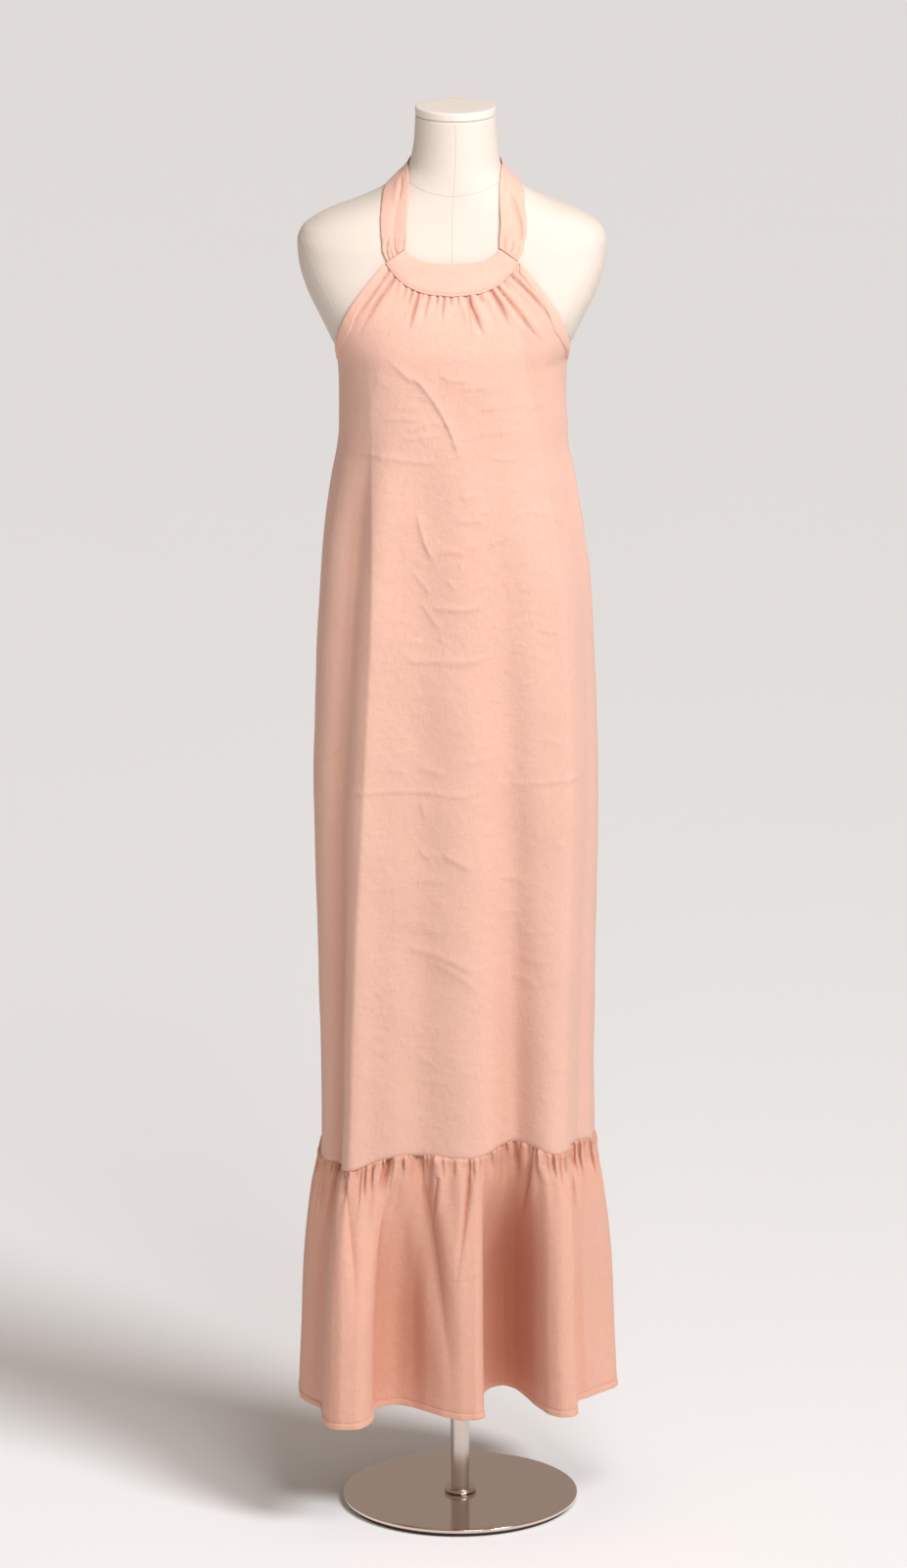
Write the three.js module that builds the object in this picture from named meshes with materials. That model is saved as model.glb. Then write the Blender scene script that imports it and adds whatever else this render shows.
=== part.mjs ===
// Halter dress on a dress form, at real size in millimetres, +Z up.
// The origin is the centre of the stand's underside. The front faces -Y, and the wearer's left is +X.
// Angles run round the body in degrees: 0 at the centre front, 90 at the wearer's left side, 180 at the back.

import * as THREE from "three";

// Stand and neck cap
const poleRadius = 11;
const collarRadius = 19;
const collarHeight = 6;
const baseRadius = 140;
const baseThickness = 4;
const footRadius = 135;
const footHeight = 5;
const capRadius = 46.5;
const capHeight = 9.7;
const capEdge = 2;
const totalHeight = 1700;
const seat = 0.3; // space left between pieces that touch

// Cloth
const clothWall = 1.5;
const hemWall = 2.4;
const bandWall = 2.2;
const strapWall = 2;
const bindingWall = 1.2;
const bindingWidth = 7;
const hemDepth = 8;
const dressEase = 4; // outer face of the front panel above the form's chest
const bandEase = 4.6;
const strapEase = 0.9; // straps lie on the form
const seamGap = 0.3;

// The neck seam spans this share of the front panel's width, and the armholes take the rest
const neckShare = 0.5;
const neckSeamAngle = 21;
const bandTopAngle = 14.7;

// Sections of the form from the hips to the neck
const formRows = [
  { height: 930, halfWidth: 126, front: 72, back: 76, square: 0.04, centre: -2 },
  { height: 938, halfWidth: 138, front: 84, back: 88, square: 0.045, centre: -2 },
  { height: 965, halfWidth: 145, front: 92, back: 95, square: 0.045, centre: -2 },
  { height: 1020, halfWidth: 147, front: 94, back: 98, square: 0.045, centre: -2 },
  { height: 1110, halfWidth: 133, front: 90, back: 91, square: 0.04, centre: -2.5 },
  { height: 1230, halfWidth: 104, front: 84, back: 75, square: 0.03, centre: -3.5 },
  { height: 1340, halfWidth: 119, front: 101, back: 90, square: 0.04, centre: -4.5 },
  { height: 1395, halfWidth: 126.5, front: 112, back: 94, square: 0.045, centre: -4.5 },
  { height: 1407, halfWidth: 130, front: 113, back: 95, square: 0.045, centre: -4.5 },
  { height: 1425, halfWidth: 138.5, front: 112.5, back: 96, square: 0.045, centre: -4.5 },
  { height: 1455, halfWidth: 153, front: 107, back: 96.5, square: 0.045, centre: -4.5 },
  { height: 1490, halfWidth: 169.5, front: 94, back: 95, square: 0.045, centre: -4.5 },
  { height: 1520, halfWidth: 177.5, front: 81, back: 91, square: 0.045, centre: -4.5 },
  { height: 1542, halfWidth: 179, front: 73, back: 86, square: 0.045, centre: -4.5 },
  { height: 1557, halfWidth: 174, front: 67, back: 82, square: 0.04, centre: -4.5 },
  { height: 1567, halfWidth: 162, front: 63.5, back: 79, square: 0.035, centre: -4.5 },
  { height: 1576, halfWidth: 145, front: 60.5, back: 76, square: 0.03, centre: -4.5 },
  { height: 1586, halfWidth: 119, front: 58, back: 72, square: 0.02, centre: -4 },
  { height: 1597, halfWidth: 94, front: 55.5, back: 68, square: 0.01, centre: -3 },
  { height: 1613, halfWidth: 70, front: 53, back: 62, square: 0, centre: -2 },
  { height: 1634, halfWidth: 52.5, front: 50.5, back: 54.5, square: 0, centre: -1 },
  { height: 1659, halfWidth: 48.2, front: 48.2, back: 49, square: 0, centre: 0 },
  { height: 1689.7, halfWidth: 46.2, front: 46.2, back: 46.2, square: 0, centre: 0 },
];

// Sections of the dress where it hangs free below the bust, down to the hem
const hangingRows = [
  { height: 120, halfWidth: 190, front: 109, back: 113, square: 0.06, centre: -2 },
  { height: 150, halfWidth: 189.5, front: 109, back: 113, square: 0.06, centre: -2 },
  { height: 239, halfWidth: 186, front: 108, back: 111, square: 0.06, centre: -2 },
  { height: 301, halfWidth: 183.5, front: 107.5, back: 110, square: 0.06, centre: -2 },
  { height: 345, halfWidth: 180, front: 107, back: 109, square: 0.06, centre: -2 },
  { height: 393, halfWidth: 173, front: 106, back: 108, square: 0.06, centre: -2 },
  { height: 423, halfWidth: 167, front: 105, back: 106, square: 0.06, centre: -2 },
  { height: 454, halfWidth: 160.5, front: 103, back: 104, square: 0.06, centre: -2 },
  { height: 514, halfWidth: 160.5, front: 103, back: 104, square: 0.06, centre: -2 },
  { height: 696, halfWidth: 163.5, front: 105, back: 105, square: 0.06, centre: -2 },
  { height: 876, halfWidth: 166.8, front: 107.5, back: 106, square: 0.06, centre: -2 },
  { height: 995, halfWidth: 164.5, front: 109, back: 104, square: 0.06, centre: -2 },
  { height: 1114, halfWidth: 158.5, front: 110.5, back: 100, square: 0.06, centre: -2.5 },
  { height: 1200, halfWidth: 151, front: 112, back: 96, square: 0.055, centre: -3.5 },
  { height: 1261, halfWidth: 141.5, front: 113.5, back: 94.5, square: 0.05, centre: -4.5 },
  { height: 1320, halfWidth: 132, front: 115, back: 96, square: 0.045, centre: -4.5 },
  { height: 1370, halfWidth: 132, front: 116, back: 98, square: 0.045, centre: -4.5 },
];

// Upper edges of the front panel, and the upper edge of the neck band
const neckSeamRows = [
  { angle: 0, height: 1497 },
  { angle: 8, height: 1500 },
  { angle: 14, height: 1507.5 },
  { angle: 18, height: 1519 },
  { angle: neckSeamAngle, height: 1532 },
];
const armholeRows = [
  { angle: neckSeamAngle, height: 1532 },
  { angle: 28, height: 1509 },
  { angle: 37, height: 1483.5 },
  { angle: 48, height: 1458 },
  { angle: 60, height: 1436 },
  { angle: 75, height: 1416 },
  { angle: 90, height: 1407 },
];
const bandTopRows = [
  { angle: 0, height: 1531 },
  { angle: 6, height: 1532 },
  { angle: 10, height: 1535 },
  { angle: 13, height: 1541 },
  { angle: bandTopAngle, height: 1547 },
];
const backTopHeight = 1407;

// The ruffle's seam runs uneven, higher where the skirt folds in
const ruffleSeamRows = [
  { angle: -180, height: 450 },
  { angle: -150, height: 446 },
  { angle: -120, height: 444 },
  { angle: -90, height: 442 },
  { angle: -60, height: 443 },
  { angle: -50, height: 443 },
  { angle: -41, height: 445 },
  { angle: -33, height: 452 },
  { angle: -25, height: 460 },
  { angle: -14, height: 463.5 },
  { angle: -4, height: 462 },
  { angle: 4, height: 461 },
  { angle: 10, height: 465 },
  { angle: 15, height: 472 },
  { angle: 20, height: 476 },
  { angle: 26, height: 474 },
  { angle: 33, height: 466 },
  { angle: 40, height: 462 },
  { angle: 46, height: 462.5 },
  { angle: 48.5, height: 469 },
  { angle: 58, height: 469 },
  { angle: 70, height: 466 },
  { angle: 80, height: 458 },
  { angle: 90, height: 452 },
  { angle: 125, height: 448 },
  { angle: 155, height: 453 },
  { angle: 180, height: 450 },
];

// Long soft folds of the skirt, out from the section where the depth is above 0
const skirtFoldRows = [
  { highAngle: -30.5, lowAngle: -43, width: 8, highDepth: 5, lowDepth: 10 },
  { highAngle: -41.5, lowAngle: -56, width: 9, highDepth: -10, lowDepth: -12 },
  { highAngle: -62, lowAngle: -74, width: 7, highDepth: 3, lowDepth: 2 },
  { highAngle: -11, lowAngle: -13, width: 8, highDepth: -3, lowDepth: -6 },
  { highAngle: 2, lowAngle: 3, width: 9, highDepth: 1, lowDepth: 4 },
  { highAngle: 16, lowAngle: 20.5, width: 8, highDepth: -3, lowDepth: -20 },
  { highAngle: 48, lowAngle: 36, width: 9, highDepth: 3, lowDepth: 7 },
  { highAngle: 66, lowAngle: 60, width: 9, highDepth: -2, lowDepth: -7 },
  { highAngle: 118, lowAngle: 112, width: 11, highDepth: 2, lowDepth: 8 },
  { highAngle: 140, lowAngle: 132, width: 10, highDepth: -1, lowDepth: -11 },
  { highAngle: 160, lowAngle: 154, width: 10, highDepth: 2, lowDepth: 7 },
  { highAngle: 178, lowAngle: 174, width: 9, highDepth: -1, lowDepth: -10 },
  { highAngle: -158, lowAngle: -164, width: 9, highDepth: 2, lowDepth: 8 },
  { highAngle: -136, lowAngle: -143, width: 10, highDepth: -1, lowDepth: -11 },
  { highAngle: -112, lowAngle: -118, width: 11, highDepth: 2, lowDepth: 7 },
];
const skirtFoldTop = 1380;
const skirtFoldFull = 1180;

// The hem's plan and height; angle is where the same cloth is sewn to the seam above
const hemRows = [
  { angle: -90, x: -191.5, y: 0, height: 144 },
  { angle: -76, x: -190, y: -40, height: 144 },
  { angle: -63, x: -178, y: -68, height: 144 },
  { angle: -54, x: -164, y: -88, height: 143 },
  { angle: -50.5, x: -162, y: -122, height: 140 },
  { angle: -47.5, x: -154, y: -140, height: 138 },
  { angle: -42, x: -140, y: -147, height: 138 },
  { angle: -36, x: -125, y: -146, height: 138 },
  { angle: -30, x: -111, y: -137, height: 139 },
  { angle: -25, x: -102.5, y: -118, height: 142 },
  { angle: -22, x: -105.5, y: -99, height: 144 },
  { angle: -19, x: -94, y: -87, height: 146 },
  { angle: -15, x: -76, y: -82, height: 147 },
  { angle: -11, x: -58, y: -87, height: 146 },
  { angle: -6.5, x: -38, y: -103, height: 145 },
  { angle: -2, x: -16, y: -118, height: 143 },
  { angle: 2, x: 4, y: -125, height: 142 },
  { angle: 5.5, x: 18, y: -125, height: 142 },
  { angle: 8, x: 28.5, y: -113, height: 143 },
  { angle: 9.6, x: 26.5, y: -84, height: 147 },
  { angle: 11.2, x: 27, y: -57, height: 150 },
  { angle: 13.5, x: 37, y: -39, height: 153 },
  { angle: 17, x: 51, y: -34, height: 154 },
  { angle: 20.5, x: 64, y: -41, height: 153 },
  { angle: 24, x: 78, y: -62, height: 150 },
  { angle: 28.5, x: 93, y: -91, height: 146 },
  { angle: 33.5, x: 108, y: -110, height: 143 },
  { angle: 38.5, x: 122, y: -116, height: 142 },
  { angle: 42.5, x: 134, y: -112, height: 142 },
  { angle: 45, x: 139.5, y: -100, height: 143 },
  { angle: 46.8, x: 136.5, y: -84, height: 145 },
  { angle: 49, x: 141, y: -69, height: 147 },
  { angle: 55, x: 152, y: -59, height: 147 },
  { angle: 63, x: 161, y: -45, height: 146 },
  { angle: 73, x: 175, y: -27, height: 145 },
  { angle: 82, x: 184.5, y: -13, height: 144 },
  { angle: 90, x: 187.5, y: 0, height: 144 },
  { angle: 97, x: 181, y: 24, height: 145 },
  { angle: 103, x: 168, y: 43, height: 147 },
  { angle: 107, x: 156, y: 58, height: 146 },
  { angle: 110, x: 158, y: 84, height: 144 },
  { angle: 113, x: 152, y: 104, height: 142 },
  { angle: 118, x: 138, y: 118, height: 141 },
  { angle: 123, x: 122, y: 120, height: 141 },
  { angle: 127, x: 110, y: 108, height: 143 },
  { angle: 129.5, x: 112, y: 90, height: 145 },
  { angle: 132, x: 101, y: 78, height: 147 },
  { angle: 137, x: 84, y: 75, height: 148 },
  { angle: 142, x: 68, y: 86, height: 146 },
  { angle: 148, x: 50, y: 108, height: 143 },
  { angle: 153, x: 36, y: 124, height: 141 },
  { angle: 158, x: 20, y: 130, height: 141 },
  { angle: 162, x: 8, y: 124, height: 142 },
  { angle: 164.5, x: 6, y: 108, height: 143 },
  { angle: 167, x: -3, y: 95, height: 145 },
  { angle: 171, x: -17, y: 89, height: 146 },
  { angle: 176, x: -33, y: 94, height: 145 },
  { angle: 182, x: -48, y: 110, height: 143 },
  { angle: 188, x: -62, y: 123, height: 141 },
  { angle: 194, x: -78, y: 128, height: 141 },
  { angle: 199, x: -92, y: 118, height: 142 },
  { angle: 201.5, x: -91, y: 98, height: 145 },
  { angle: 205, x: -99, y: 79, height: 147 },
  { angle: 210, x: -112, y: 70, height: 148 },
  { angle: 216, x: -124, y: 78, height: 147 },
  { angle: 222, x: -136, y: 96, height: 144 },
  { angle: 228, x: -149, y: 111, height: 142 },
  { angle: 235, x: -162, y: 106, height: 142 },
  { angle: 240, x: -166, y: 88, height: 144 },
  { angle: 245, x: -172, y: 70, height: 145 },
  { angle: 251, x: -179, y: 53, height: 145 },
  { angle: 258, x: -186, y: 34, height: 145 },
  { angle: 264, x: -190, y: 16, height: 144 },
  { angle: 270, x: -191.5, y: 0, height: 144 },
];

// Gathers below the neck seam, placed across the seam from -1 to 1
const neckGatherRows = [
  { place: -0.93, width: 0.06, length: 70, height: 2.6 },
  { place: -0.74, width: 0.045, length: 34, height: 1.5 },
  { place: -0.53, width: 0.055, length: 60, height: 2.8 },
  { place: -0.34, width: 0.045, length: 30, height: 1.4 },
  { place: -0.17, width: 0.05, length: 48, height: 1.7 },
  { place: 0.02, width: 0.045, length: 30, height: 1.5 },
  { place: 0.17, width: 0.055, length: 52, height: 2.6 },
  { place: 0.33, width: 0.045, length: 36, height: 1.6 },
  { place: 0.49, width: 0.055, length: 62, height: 2.9 },
  { place: 0.66, width: 0.05, length: 72, height: 2.8 },
  { place: 0.84, width: 0.055, length: 66, height: 2.7 },
];

// Small even gathers at both gathered seams
const neckWaves = 17;
const neckWaveHeight = 0.7;
const ruffleWaves = 58;
const ruffleWaveHeight = 1.5;
const ruffleWaveRise = 14;
const ruffleWaveReach = 95;

// Strap edges from the band's end, over the shoulder, to the seam at the nape
const strapRows = [
  { station: 0, upperAngle: 14.7, upperHeight: 1547, lowerAngle: 21, lowerHeight: 1532 },
  { station: 0.5, upperAngle: 15.1, upperHeight: 1557, lowerAngle: 22.6, lowerHeight: 1543 },
  { station: 1, upperAngle: 16.3, upperHeight: 1566, lowerAngle: 23.8, lowerHeight: 1555 },
  { station: 1.5, upperAngle: 18.6, upperHeight: 1575.5, lowerAngle: 26.2, lowerHeight: 1565 },
  { station: 2, upperAngle: 22.5, upperHeight: 1584, lowerAngle: 30.6, lowerHeight: 1575 },
  { station: 2.5, upperAngle: 28, upperHeight: 1592, lowerAngle: 38, lowerHeight: 1583.5 },
  { station: 3, upperAngle: 34.5, upperHeight: 1600, lowerAngle: 47, lowerHeight: 1590.5 },
  { station: 3.5, upperAngle: 42, upperHeight: 1608, lowerAngle: 56.5, lowerHeight: 1596 },
  { station: 4, upperAngle: 50, upperHeight: 1616, lowerAngle: 66.5, lowerHeight: 1601 },
  { station: 5, upperAngle: 68.5, upperHeight: 1627.5, lowerAngle: 82, lowerHeight: 1606 },
  { station: 6, upperAngle: 84, upperHeight: 1632, lowerAngle: 95, lowerHeight: 1608.5 },
  { station: 7, upperAngle: 102, upperHeight: 1635.5, lowerAngle: 110, lowerHeight: 1611.5 },
  { station: 8, upperAngle: 126, upperHeight: 1640, lowerAngle: 129, lowerHeight: 1616 },
  { station: 9, upperAngle: 152, upperHeight: 1644, lowerAngle: 153, lowerHeight: 1620 },
  { station: 10, upperAngle: 180, upperHeight: 1646, lowerAngle: 180, lowerHeight: 1622 },
];

// How finely each piece is divided
const frontRowCount = 21;
const denseRowCount = 6;
const neckColumns = 60;
const armholeColumns = 9;
const frontColumns = 30;
const backColumns = 20;
const ruffleFrontColumns = 108;
const ruffleBackColumns = 72;
const formColumns = 36;
const strapSteps = 30;
const roundSegments = 40;

const materials = {
  cloth: { color: 0xf0bfa6, roughness: 0.86, metalness: 0 },
  ruffleCloth: { color: 0xeab597, roughness: 0.86, metalness: 0 },
  cover: { color: 0xf3e9df, roughness: 0.9, metalness: 0 },
  cap: { color: 0xf2e6da, roughness: 0.55, metalness: 0 },
  steel: { color: 0xb9aea6, roughness: 0.3, metalness: 1 },
  rubber: { color: 0x2b2624, roughness: 0.8, metalness: 0 },
};

const clamp = THREE.MathUtils.clamp;
const lerp = THREE.MathUtils.lerp;

// 0 before the start, 1 past the end, in either direction
function ease(value, start, end) {
  const part = clamp((value - start) / (end - start), 0, 1);
  return part * part * (3 - 2 * part);
}

// Smooth curve through one column of a table, with no overshoot between rows
function tableCurve(rows, key, column) {
  const x = rows.map((row) => row[key]);
  const y = rows.map((row) => row[column]);
  const last = x.length - 1;
  const chord = x.slice(1).map((value, i) => (y[i + 1] - y[i]) / (value - x[i]));
  const slope = x.map((_, i) => {
    if (i === 0) return chord[0];
    if (i === last) return chord[last - 1];
    const before = chord[i - 1];
    const after = chord[i];
    return before * after <= 0 ? 0 : (2 * before * after) / (before + after);
  });
  return (at) => {
    let i = 0;
    while (i < last - 1 && at > x[i + 1]) i += 1;
    const span = x[i + 1] - x[i];
    const t = clamp((at - x[i]) / span, 0, 1);
    const t2 = t * t;
    const t3 = t2 * t;
    return (2 * t3 - 3 * t2 + 1) * y[i] + (t3 - 2 * t2 + t) * span * slope[i]
      + (3 * t2 - 2 * t3) * y[i + 1] + (t3 - t2) * span * slope[i + 1];
  };
}

function tableCurves(rows, key, names) {
  return Object.fromEntries(names.map((name) => [name, tableCurve(rows, key, name)]));
}

function sectionCurves(rows) {
  return tableCurves(rows, "height", ["halfWidth", "front", "back", "square", "centre"]);
}

// Point of a rounded section at one height, where square fills out its corners
function sectionPoint(curves, angle, height) {
  const turn = THREE.MathUtils.degToRad(angle);
  const square = curves.square(height);
  const across = (Math.sin(turn) + square * Math.sin(3 * turn)) / (1 - square);
  const forward = (Math.cos(turn) - square * Math.cos(3 * turn)) / (1 - square);
  const depth = forward > 0 ? curves.front(height) : curves.back(height);
  return new THREE.Vector3(curves.centre(height) + curves.halfWidth(height) * across, -depth * forward, height);
}

const formCurves = sectionCurves(formRows);
const chestRows = formRows.filter((row) => row.height >= backTopHeight).map((row) => ({
  ...row,
  halfWidth: row.halfWidth + dressEase,
  front: row.front + dressEase,
  back: row.back + dressEase,
}));
const dressCurves = sectionCurves([...hangingRows, ...chestRows]);
const neckSeamHeight = tableCurve(neckSeamRows, "angle", "height");
const armholeHeight = tableCurve(armholeRows, "angle", "height");
const bandTopHeight = tableCurve(bandTopRows, "angle", "height");
const ruffleSeamHeight = tableCurve(ruffleSeamRows, "angle", "height");
const hemCurves = tableCurves(hemRows, "angle", ["x", "y", "height"]);
const strapCurves = tableCurves(strapRows, "station", ["upperAngle", "upperHeight", "lowerAngle", "lowerHeight"]);

// Smallest turn from one angle to another
function turnBetween(angle, other) {
  return ((angle - other + 540) % 360) - 180;
}

function wrapAngle(angle) {
  return turnBetween(angle, 0);
}

// Soft crest of a fold, 1 in its middle
function crest(distance, width) {
  return Math.exp(-((distance / width) ** 2));
}

// How far the skirt's long folds stand out at one place
function skirtFold(angle, height) {
  const strength = ease(height, skirtFoldTop, skirtFoldFull);
  const down = clamp((skirtFoldFull - height) / (skirtFoldFull - ruffleSeamHeight(0)), 0, 1);
  let out = 0;
  for (const fold of skirtFoldRows) {
    const distance = turnBetween(angle, lerp(fold.highAngle, fold.lowAngle, down));
    out += lerp(fold.highDepth, fold.lowDepth, down) * crest(distance, fold.width);
  }
  return out * strength;
}

// Small gathers with uneven spacing, from a wave count round the whole seam
function unevenWave(turns, waves) {
  const phase = 2 * Math.PI * turns;
  const drift = 1.1 * Math.sin(3 * phase + 0.7) + 0.7 * Math.sin(7 * phase + 2.1);
  return Math.sin(waves * phase + drift) * (0.75 + 0.25 * Math.sin(5 * phase + 1.2));
}

// Moves a point of the dress section out by its folds
function foldedPoint(angle, height, out) {
  const point = sectionPoint(dressCurves, angle, height);
  const step = 0.5;
  const along = sectionPoint(dressCurves, angle + step, height)
    .sub(sectionPoint(dressCurves, angle - step, height)).normalize();
  return point.addScaledVector(new THREE.Vector3(along.y, -along.x, 0), out);
}

// The skirt's cloth at any angle and height
function skirtPoint(angle, height) {
  return foldedPoint(angle, height, skirtFold(wrapAngle(angle), height));
}

// The front panel's top edge: the neck seam in the middle, an armhole at each end
function frontTop(place) {
  const side = Math.abs(place);
  const sign = Math.sign(place);
  if (side <= neckShare) {
    const angle = neckSeamAngle * side / neckShare;
    return { angle: angle * sign, height: neckSeamHeight(angle) - seamGap / 2 };
  }
  const angle = lerp(neckSeamAngle, 90, (side - neckShare) / (1 - neckShare));
  return { angle: angle * sign, height: armholeHeight(angle) };
}

// Drop from the top edge that makes a strip of the binding's width along it
function bindingDrop(place) {
  const step = 0.01;
  const side = clamp(Math.abs(place), neckShare + step, 1 - step);
  const before = frontTop(side - step);
  const after = frontTop(side + step);
  const rise = after.height - before.height;
  const run = sectionPoint(dressCurves, after.angle, after.height)
    .sub(sectionPoint(dressCurves, before.angle, before.height)).setZ(0).length();
  return bindingWidth * Math.hypot(1, rise / run);
}

// Height of a row of the front panel, rows close together near the top
function frontHeight(place, row) {
  const top = frontTop(place).height;
  const low = ruffleSeamHeight(90 * place) + seamGap / 2;
  if (row === 0) return top;
  const under = top - bindingDrop(place);
  return lerp(under, low, ((row - 1) / (frontRowCount - 1)) ** 1.7);
}

// Gathers below the neck seam
function neckGather(place, drop) {
  const across = place / neckShare;
  if (Math.abs(across) > 1.25) return 0;
  let out = 0;
  for (const fold of neckGatherRows) {
    const reach = ease(drop, 0, 9) * (1 - ease(drop, 0.3 * fold.length, fold.length));
    out += fold.height * reach * crest(across - fold.place, fold.width * (1 + 0.012 * drop));
  }
  const small = neckWaveHeight * ease(drop, 0, 6) * (1 - ease(drop, 10, 30)) * (1 - ease(Math.abs(across), 0.95, 1.2));
  return out + small * unevenWave(across / 2, neckWaves);
}

// The front panel's cloth: place runs from -1 to 1 across, straight down at the sides
function frontPoint(place, height, gathered = 1) {
  const top = frontTop(place);
  const spread = ease(height, 1290, top.height);
  const angle = lerp(90 * place, top.angle, spread);
  const out = skirtFold(angle, height) + gathered * neckGather(place, top.height - height);
  return foldedPoint(angle, height, out);
}

// Ruffle cloth at an angle, from 0 at the seam to 1 at the hem, where it reaches the hem's plan
function rufflePoint(angle, down) {
  const turn = wrapAngle(angle);
  const round = turn < -90 ? turn + 360 : turn;
  const top = ruffleSeamHeight(turn) - seamGap / 2;
  const low = hemCurves.height(round);
  const height = lerp(top, low, down);
  const belowSeam = top - height;
  const gather = ease(belowSeam, -4, ruffleWaveRise) * (1 - ease(belowSeam, 30, ruffleWaveReach));
  const out = skirtFold(turn, top) * (1 - ease(down, 0, 0.7))
    + ruffleWaveHeight * gather * unevenWave(turn / 360, ruffleWaves);
  const hemPoint = new THREE.Vector3(hemCurves.x(round), hemCurves.y(round), low);
  const fold = hemPoint.sub(sectionPoint(dressCurves, angle, low));
  return foldedPoint(angle, height, out).addScaledVector(fold, ease(down, -0.05, 0.75));
}

// Outward direction of a surface given by two values, across and down
function outwardOf(surface, across, down, stepAcross, stepDown) {
  const right = surface(across + stepAcross, down).sub(surface(across - stepAcross, down));
  const below = surface(across, down + stepDown).sub(surface(across, down - stepDown));
  return below.cross(right).normalize();
}

// The same, kept level, so that the edges of two pieces at a seam stay parallel
function levelOutward(surface, across, down, stepAcross, stepDown) {
  return outwardOf(surface, across, down, stepAcross, stepDown).setZ(0).normalize();
}

// Closed wall between an outer and an inner row of points for each row, rows from top to bottom.
// Neighbouring rows may have different numbers of points.
function wallGeometry(rows) {
  const positions = [];
  const index = [];
  const outer = [];
  const inner = [];
  for (const row of rows) {
    for (const [list, side] of [[outer, "outer"], [inner, "inner"]]) {
      list.push(row.map((point) => {
        positions.push(point[side].x, point[side].y, point[side].z);
        return positions.length / 3 - 1;
      }));
    }
  }
  const zip = (upper, lower, upperRow, lowerRow, flip) => {
    let i = 0;
    let j = 0;
    while (i < upper.length - 1 || j < lower.length - 1) {
      const useUpper = j === lower.length - 1
        || (i < upper.length - 1 && upperRow[i + 1].at <= lowerRow[j + 1].at + 1e-9);
      const next = useUpper ? upper[i + 1] : lower[j + 1];
      const face = [upper[i], lower[j], next];
      index.push(...(flip ? [face[0], face[2], face[1]] : face));
      if (useUpper) i += 1;
      else j += 1;
    }
  };
  const quad = (a, b, c, d) => index.push(a, b, c, a, c, d);
  for (let r = 0; r < rows.length - 1; r += 1) {
    zip(outer[r], outer[r + 1], rows[r], rows[r + 1], false);
    zip(inner[r], inner[r + 1], rows[r], rows[r + 1], true);
    quad(outer[r][0], inner[r][0], inner[r + 1][0], outer[r + 1][0]);
    quad(outer[r].at(-1), outer[r + 1].at(-1), inner[r + 1].at(-1), inner[r].at(-1));
  }
  const bottom = rows.length - 1;
  for (let i = 0; i < outer[0].length - 1; i += 1) {
    quad(outer[0][i], outer[0][i + 1], inner[0][i + 1], inner[0][i]);
  }
  for (let i = 0; i < outer[bottom].length - 1; i += 1) {
    quad(outer[bottom][i], inner[bottom][i], inner[bottom][i + 1], outer[bottom][i + 1]);
  }
  const geometry = new THREE.BufferGeometry();
  geometry.setAttribute("position", new THREE.Float32BufferAttribute(positions, 3));
  geometry.setIndex(index);
  geometry.computeVertexNormals();
  return geometry;
}

// Evenly spaced values from one end to the other
function spaced(start, end, count) {
  return Array.from({ length: count + 1 }, (_, i) => lerp(start, end, i / count));
}

// One wall point from a place on a surface: out moves both faces, wall is the thickness
function wallPoint(at, point, outward, wall, out = 0) {
  return {
    at,
    outer: point.clone().addScaledVector(outward, out),
    inner: point.clone().addScaledVector(outward, out - wall),
  };
}

const halfGapAngle = 0.06; // half of the side seam's gap
const sidePlace = 1 - halfGapAngle / 90;

function frontPlaces(row) {
  if (row === frontRowCount) return spaced(-sidePlace, sidePlace, ruffleFrontColumns);
  if (row >= denseRowCount) return spaced(-sidePlace, sidePlace, frontColumns);
  const armhole = spaced(neckShare, sidePlace, armholeColumns);
  const neck = spaced(-neckShare, neckShare, neckColumns);
  return [...armhole.map((place) => -place).reverse(), ...neck.slice(1, -1), ...armhole];
}

function frontOutward(place, height) {
  return levelOutward((across, down) => frontPoint(across, -down, 0), place, -height, 0.012, 2);
}

function frontWallPoint(place, row, wall = clothWall, out = 0) {
  const height = frontHeight(place, row);
  return wallPoint(place, frontPoint(place, height), frontOutward(place, height), wall, out);
}

function dressFront() {
  const rows = spaced(0, frontRowCount, frontRowCount)
    .map((row) => frontPlaces(row).map((place) => frontWallPoint(place, row)));
  return wallGeometry(rows);
}

// The back panel runs from the wearer's left side round to the right, with a straight top edge
function backWallPoint(angle, row, wall = clothWall, out = 0) {
  const low = ruffleSeamHeight(wrapAngle(angle)) + seamGap / 2;
  const under = backTopHeight - bindingWidth;
  const height = row === 0 ? backTopHeight : lerp(under, low, ((row - 1) / (frontRowCount - 1)) ** 1.7);
  const outward = levelOutward((across, down) => skirtPoint(across, -down), angle, -height, 1, 2);
  return wallPoint(angle, skirtPoint(angle, height), outward, wall, out);
}

function backAngles(count) {
  return spaced(90 + halfGapAngle, 270 - halfGapAngle, count);
}

function dressBack() {
  const rows = spaced(0, frontRowCount, frontRowCount).map((row) => {
    const count = row === frontRowCount ? ruffleBackColumns : backColumns;
    return backAngles(count).map((angle) => backWallPoint(angle, row));
  });
  return wallGeometry(rows);
}

// Binding strips lie on the panels' own points, moved out
const bindingLift = seamGap + bindingWall;

function armholeBinding(sign) {
  const places = spaced(neckShare, sidePlace, armholeColumns).map((place) => place * sign).sort((a, b) => a - b);
  return wallGeometry([0, 1].map((row) => (
    places.map((place) => frontWallPoint(place, row, bindingWall, bindingLift)))));
}

function backBinding() {
  const angles = backAngles(backColumns);
  return wallGeometry([0, 1].map((row) => (
    angles.map((angle) => backWallPoint(angle, row, bindingWall, bindingLift)))));
}

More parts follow.
